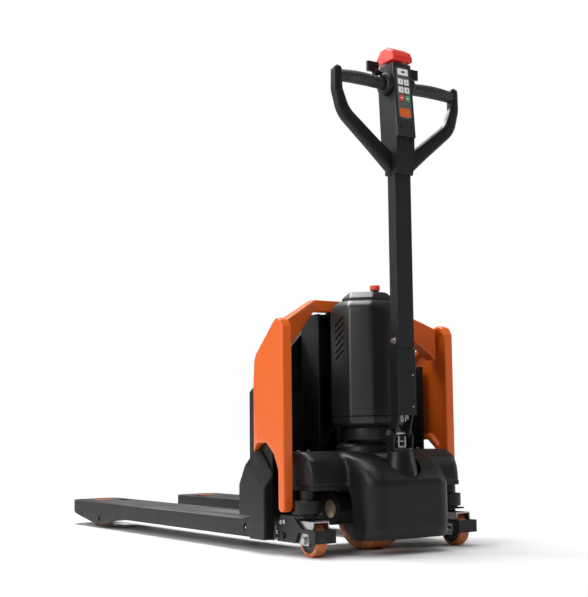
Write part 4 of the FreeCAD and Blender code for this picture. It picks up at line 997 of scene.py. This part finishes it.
spring_top = sleeve_low[2] + 0.026
piece("tiller_spring", *coil((0.0120, TILLER[1] - 0.0180, sleeve_low[2] - 0.010),
                             (0.0092, TILLER[1] - 0.0200, spring_top),
                             0.0042, 0.0009, 11), "tiller_fittings", slot="zinc")

# %% [markdown]
# ## Tiller head
# Two looped arms leave the head low down, sweep outwards and turn up to the ends of the grips. Each is a
# rounded rectangle carried along a path whose bend is one large arc, and it gets slimmer towards the top.

# %% Handle loops
def loop_rings(side, steps=12):
    """Sections of a rounded rectangle along the arm, standing square to the path."""
    top = high_of("handle_loops")[2]
    out = high_of("handle_loops")[0]
    base = low_of("handle_loops")[2]
    path = soft_path([(0.018, base + 0.016), (out - 0.029, base + 0.134), (out - 0.0112, top - 0.060),
                      (out - 0.0110, top)], [0.01, 0.070, 0.03, 0.01], steps)
    walked = np.r_[0, np.cumsum(np.linalg.norm(np.diff(path, axis=0), axis=1))]
    stations = np.linspace(0, walked[-1], 60)
    path = np.stack([np.interp(stations, walked, path[:, k]) for k in (0, 1)], 1)
    tangent = np.gradient(path, axis=0)
    tangent /= np.linalg.norm(tangent, axis=1, keepdims=True)
    share = stations / walked[-1]
    half_width = np.interp(share, [0, 0.25, 0.62, 0.8, 1], [0.0225, 0.0188, 0.0162, 0.0130, 0.0116])
    half_depth = np.full(len(share), 0.0118)
    end = stations[-1] - stations
    round_over = np.sqrt(np.clip(1 - (1 - np.clip(end / 0.011, 0, 1)) ** 2, 0.02, 1))
    half_width = half_width * round_over
    half_depth = half_depth * (0.35 + 0.65 * round_over)
    rings = []
    for point, way, wide, deep in zip(path, tangent, half_width, half_depth):
        corner = min(wide, deep) * 0.55
        outline = soft_outline([(wide, -deep), (wide, deep), (-wide, deep), (-wide, -deep)], corner, 5)
        x = point[0] + way[1] * outline[:, 0]
        z = point[1] - way[0] * outline[:, 0]
        rings.append(np.stack([side * x, outline[:, 1] + GRIP[1] - 0.001, z], 1))
    return rings


loops = joined([skin(loop_rings(side)) for side in (-1, 1)])
piece("handle_loops_moulding", *loops, "handle_loops", replaces=["handle_loops"], crease=50.0)

# %% [markdown]
# The grips are rubber sleeves that bow slightly upwards, with finger ribs. Their radius is a barrel shape
# plus a row of shallow grooves, and the whole ring is lifted by the bow.

# %% Grips and collars
def grip_form(side):
    inner, outer = 0.0445, high_of("grips")[0] + 0.004
    t = np.linspace(0, 1, 150)
    groove = np.exp(-((np.mod(t * 11.0 - 1.0, 1.0) - 0.5) / 0.10) ** 2) * ((t > 0.10) & (t < 0.92))
    radius = 0.0150 + 0.0014 * np.sin(math.pi * t) - 0.0007 * groove
    lift = 0.0030 * np.sin(math.pi * t) - 0.0008
    angle = np.linspace(0, 2 * math.pi, 48, endpoint=False)
    x = np.repeat((side * (inner + (outer - inner) * t))[:, None], 48, 1)
    y = GRIP[1] + radius[:, None] * np.cos(angle) * 0.96
    z = GRIP[2] + lift[:, None] + radius[:, None] * np.sin(angle)
    return skin(np.stack([x, y, z], -1))


piece("grip_sleeves", *joined([grip_form(side) for side in (-1, 1)]), "grips", replaces=["grips"],
      crease=50.0)


def collar(side):
    """Round collar where the grip meets the head, with a flat rim and a groove for the thumb paddle."""
    profile = [(0.020, 0.0270), (0.0265, 0.0278), (0.0275, 0.0262), (0.0290, 0.0262), (0.0300, 0.0285),
               (0.0375, 0.0285), (0.0410, 0.0268), (0.0440, 0.0225), (0.0450, 0.0170)]
    return turned([(side * x, r) for x, r in profile], (0, GRIP[1], GRIP[2]), "x", 64)


piece("head_collars", *joined([collar(side) for side in (-1, 1)]), "head_housing", slot="black_moulding")

# %% [markdown]
# The head itself, its front panel, the keys, the red safety hood, the thumb paddles and the lift rocker are
# moulded pieces with small radii. The hood is more rounded than the rest, so that it is kind to a hand that
# presses it.

# %% Head mouldings
softened("head_housing", 0.0022, 3)
softened("control_panel", 0.0009, 2)
moulded("belly_button", 0.0009, 10)
softened("throttle", 0.0026, 4)
softened("lift_rocker", 0.0012, 3)
for key in ("speed_button", "key_1", "key_2", "key_3", "key_4", "stop_key", "start_key"):
    softened(key, 0.0007, 3)

# %% [markdown]
# The keys carry plain printed signs: numbers on four of them, a bar on the two lower ones and a small dome
# on the wide one. A sign is a thin flat mesh laid just above the key's face. Text is made a mesh first, and
# then its points are carried onto the sloping face of the panel.

# %% Signs on the keys
slope = low_of("speed_button")[1] - low_of("stop_key")[1]
rise = high_of("speed_button")[2] - 0.0085 - (high_of("stop_key")[2] - 0.0075)
face_up = np.array([0.0, slope, rise]) / math.hypot(slope, rise)
face_out = np.array([0.0, -face_up[2], face_up[1]])


def sign_on(node, points, faces, name, colour_slot):
    """Lays flat points (x, y) on the outer face of a key: x across, y up the panel."""
    low, high = low_of(node), high_of(node)
    corner = np.array([(low[0] + high[0]) / 2, low[1], low[2]])
    middle = corner + face_up * ((high[2] - low[2]) / 2) / face_up[2] * 0.985
    middle = middle - face_out * (face_out @ (middle - corner))
    flat = np.asarray(points, float)
    lifted = middle + flat[:, :1] * np.array([1.0, 0, 0]) + flat[:, 1:2] * face_up + face_out * 0.00012
    return piece(name, lifted, faces, node, slot=colour_slot)


def digit_form(text, size):
    curve = bpy.data.curves.new("digit", "FONT")
    curve.body = text
    curve.size = size
    curve.align_x = "CENTER"
    curve.align_y = "CENTER"
    holder = bpy.data.objects.new("digit", curve)
    bpy.context.collection.objects.link(holder)
    graph = bpy.context.evaluated_depsgraph_get()
    mesh = bpy.data.meshes.new_from_object(holder.evaluated_get(graph))
    points = np.array([vertex.co[:2] for vertex in mesh.vertices])
    faces = [list(face.vertices) for face in mesh.polygons]
    bpy.data.objects.remove(holder)
    return points, faces


for number in "1234":
    points, faces = digit_form(number, 0.0125)
    sign_on("key_" + number, points, faces, "sign_" + number, "black_moulding")
bar = soft_outline([(-0.0042, -0.0012), (0.0042, -0.0012), (0.0042, 0.0012), (-0.0042, 0.0012)], 0.001, 5)
for node in ("stop_key", "start_key"):
    sign_on(node, bar, [list(range(len(bar)))], "sign_" + node, "white_key")
sweep = np.linspace(0, math.pi, 20)
dome_sign = np.stack([0.0062 * np.cos(sweep), 0.0052 * np.sin(sweep) - 0.0022], 1)
sign_on("speed_button", dome_sign, [list(range(len(dome_sign)))], "sign_speed", "black_moulding")

# %% [markdown]
# A plain orange label sits below the keys, and two screws close the panel.

# %% Panel label and screws
panel_low = low_of("control_panel")
label_centre = np.array([0.0, 0.0, panel_low[2] + 0.062])
label_centre[1] = panel_low[1] + (label_centre[2] - panel_low[2]) * face_up[1] / face_up[2]
label_flat = soft_outline([(-0.016, -0.011), (0.016, -0.011), (0.016, 0.011), (-0.016, 0.011)], 0.0012, 4)
label_rings = []
for lift, inset in ((-0.0004, 0.0), (0.0003, 0.0), (0.0004, 0.0002)):
    flat = label_flat * (1 - inset / 0.011)
    label_rings.append(label_centre + flat[:, :1] * np.array([1.0, 0, 0]) + flat[:, 1:] * face_up
                       + face_out * lift)
piece("panel_label", *skin(label_rings), "control_panel", slot="orange_paint")


def screw_cup(x, z):
    """Raised rim round a sunk socket, turned about an axis that points out of the panel."""
    y = panel_low[1] + (z - panel_low[2]) * face_up[1] / face_up[2]
    return turned([(0.0008, 0.0042), (-0.0006, 0.0040), (-0.0008, 0.0033), (0.0004, 0.0027),
                   (0.0006, 0.0004)],
                  (x, y, z), "y", 32)


cups = joined([screw_cup(side * 0.016, panel_low[2] + 0.025) for side in (-1, 1)])
piece("panel_screw_cups", *cups, "control_panel", slot="black_paint")

# %% [markdown]
# ## Motor plate
# The end of the traction motor shows through the arch of the bumper, with a round gold rating plate left
# blank.

# %% Rating plate
motor_low = low_of("drive_motor")
gold = Paint("gold plate", (0.62, 0.44, 0.20), 0.35, 0.6)
gold.set("Base Color", gold.mix(gold.noise(260.0, 6.0), (0.55, 0.36, 0.13, 1.0), (0.66, 0.58, 0.50, 1.0)))
plate_profile = [(0.0006, 0.022), (-0.0004, 0.022), (-0.0007, 0.0215), (-0.0007, 0.0005)]
plate_form = turned(plate_profile, (motor_low[0], DRIVE[1], DRIVE[2]), "x", 64)
piece("motor_rating_plate", *plate_form, "drive_motor", slot="zinc", material=gold.material)

# %% [markdown]
# ## Everything else
# The remaining nodes are frames, pins, shafts and fasteners. Each becomes a softened copy with a small
# radius and its slot's finish, except those whose tiny curved faces a bevel would spoil: they keep their
# node and only take the finish.

# %% Frames, pins and fasteners
small_radius = {"base_frame": 0.0010, "lift_frame": 0.0012, "castor_heads": 0.0015, "drive_gearbox": 0.0015,
                "drive_motor": 0.0018, "tiller_yoke": 0.0010, "cover_screws": 0.0008, "lift_cylinder": 0.0010,
                "battery_pack": 0.0020, "hydraulic_unit": 0.0020, "rocker_shaft": 0.0008}
for node, width in small_radius.items():
    softened(node, width, 2)
two_finishes("yoke_fittings", "zinc", "zinc", 0.0006, 0.0006, "yoke_fittings")
hidden = {name for thing in bpy.data.objects for name in thing.get("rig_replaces", [])}
kept = [node for node in frame["nodes"] if node not in hidden]
for node in kept:
    thing = frame["nodes"][node]
    for place in thing.material_slots:
        place.link = "OBJECT"
        place.material = finishes[slot_of[node]].material
print("kept as designed:", kept)

# %% [markdown]
# ## Floor, light and camera
# A pale floor fades into a white surround, one broad soft light stands to the front left, a weaker one
# overhead, and a strip behind picks out the edges. The camera stands low and looks slightly up, as a person
# kneeling would.

# %% Floor
floor_mesh = bpy.data.meshes.new("floor")
reach = 30.0
floor_mesh.from_pydata([(-reach, -reach, 0), (reach, -reach, 0), (reach, reach, 0), (-reach, reach, 0)], [],
                       [(0, 1, 2, 3)])
floor = bpy.data.objects.new("floor", floor_mesh)
bpy.context.collection.objects.link(floor)
ground = Paint("pale floor", (0.90, 0.90, 0.90), 0.55)
x, y, z = ground.axes()
away = ((x * x) * 2.2 + (y * y)).power(0.5)
tone = ground.noise(3.0, 4.0) * 0.02 + 0.88
ground.set("Base Color", ground.mix(tone, (0.90, 0.90, 0.90, 1.0), (0.94, 0.94, 0.94, 1.0)))
glow = ground.tree.nodes.new("ShaderNodeEmission")
glow.inputs["Color"].default_value = (1.0, 1.0, 1.0, 1.0)
glow.inputs["Strength"].default_value = 1.0
blend = ground.tree.nodes.new("ShaderNodeMixShader")
ground.tree.links.new(ground.ramp(away, 0.75, 1.55).socket, blend.inputs[0])
ground.tree.links.new(ground.shader.outputs[0], blend.inputs[1])
ground.tree.links.new(glow.outputs[0], blend.inputs[2])
ground.tree.links.new(blend.outputs[0], ground.tree.nodes["Material Output"].inputs[0])
floor_mesh.materials.append(ground.material)

# %% [markdown]
# A black machine shows its form by what it reflects, so the lights are large and soft: a key light at the
# left front, one overhead, one low over the steering case, and two narrow strips that draw bright edges.
# The surroundings are white where the camera sees them and dim everywhere else, so the backdrop is pale and
# the blacks keep their depth.

# %% Light
def soft_light(name, place, target, size, power):
    data = bpy.data.lights.new(name, "AREA")
    data.shape = "RECTANGLE"
    data.size, data.size_y = size
    data.energy = power
    lamp = bpy.data.objects.new(name, data)
    lamp.location = place
    direction = np.asarray(target, float) - np.asarray(place, float)
    lamp.rotation_euler = Vector(direction).to_track_quat("-Z", "Y").to_euler()
    bpy.context.collection.objects.link(lamp)


soft_light("key", (-3.2, -1.2, 1.9), (0, -0.4, 0.45), (1.4, 2.2), 68)
soft_light("left strip", (-2.2, 1.3, 1.3), (-0.3, -0.4, 0.4), (0.4, 2.0), 10)
soft_light("overhead", (0.1, -0.5, 3.0), (0, -0.3, 0.0), (1.4, 1.4), 40)
soft_light("rear top", (-0.35, 0.5, 2.3), (-0.12, -0.66, 0.23), (1.6, 0.9), 62)
soft_light("edge strip", (2.6, -1.4, 1.4), (0, -0.5, 0.6), (0.35, 2.2), 16)
ROOM_LIGHT, BACKDROP = 0.16, 1.0
world = bpy.data.worlds.new("studio")
bpy.context.scene.world = world
world.use_nodes = True
sky = world.node_tree
background = sky.nodes["Background"]
seen = sky.nodes.new("ShaderNodeLightPath")
bright = sky.nodes.new("ShaderNodeMapRange")
bright.inputs["To Min"].default_value = ROOM_LIGHT
bright.inputs["To Max"].default_value = BACKDROP
sky.links.new(seen.outputs["Is Camera Ray"], bright.inputs["Value"])
sky.links.new(bright.outputs[0], background.inputs["Strength"])
background.inputs["Color"].default_value = (1.0, 1.0, 1.0, 1.0)
bpy.context.scene.view_settings.view_transform = "Standard"

# %% [markdown]
# The camera stands low, to the left of the tiller. Its turn, pitch and roll give three unit vectors, right,
# top and forward, which are the columns of its matrix, with forward reversed because a camera looks along
# its own minus z. The shift slides the frame without turning the camera, so upright edges stay upright.

# %% Camera
CAMERA = (-1.7073, -2.9002, 0.293)
TURN, PITCH, ROLL = math.radians(-34.42), math.radians(5.97), math.radians(-0.78)
LENS, SENSOR, SHIFT = 67.59, 36.0, (-0.0599, 0.0283)
forward = np.array([-math.sin(TURN) * math.cos(PITCH), math.cos(TURN) * math.cos(PITCH), math.sin(PITCH)])
level = np.array([math.cos(TURN), math.sin(TURN), 0.0])
upright = np.cross(level, forward)
right = level * math.cos(ROLL) + upright * math.sin(ROLL)
top = upright * math.cos(ROLL) - level * math.sin(ROLL)
lens_data = bpy.data.cameras.new("camera")
lens_data.lens = LENS
lens_data.sensor_width = SENSOR
lens_data.shift_x, lens_data.shift_y = SHIFT
camera = bpy.data.objects.new("camera", lens_data)
matrix = np.eye(4)
matrix[:3, 0] = right
matrix[:3, 1] = top
matrix[:3, 2] = -forward
matrix[:3, 3] = CAMERA
camera.matrix_world = Matrix(matrix.tolist())
bpy.context.collection.objects.link(camera)
bpy.context.scene.camera = camera
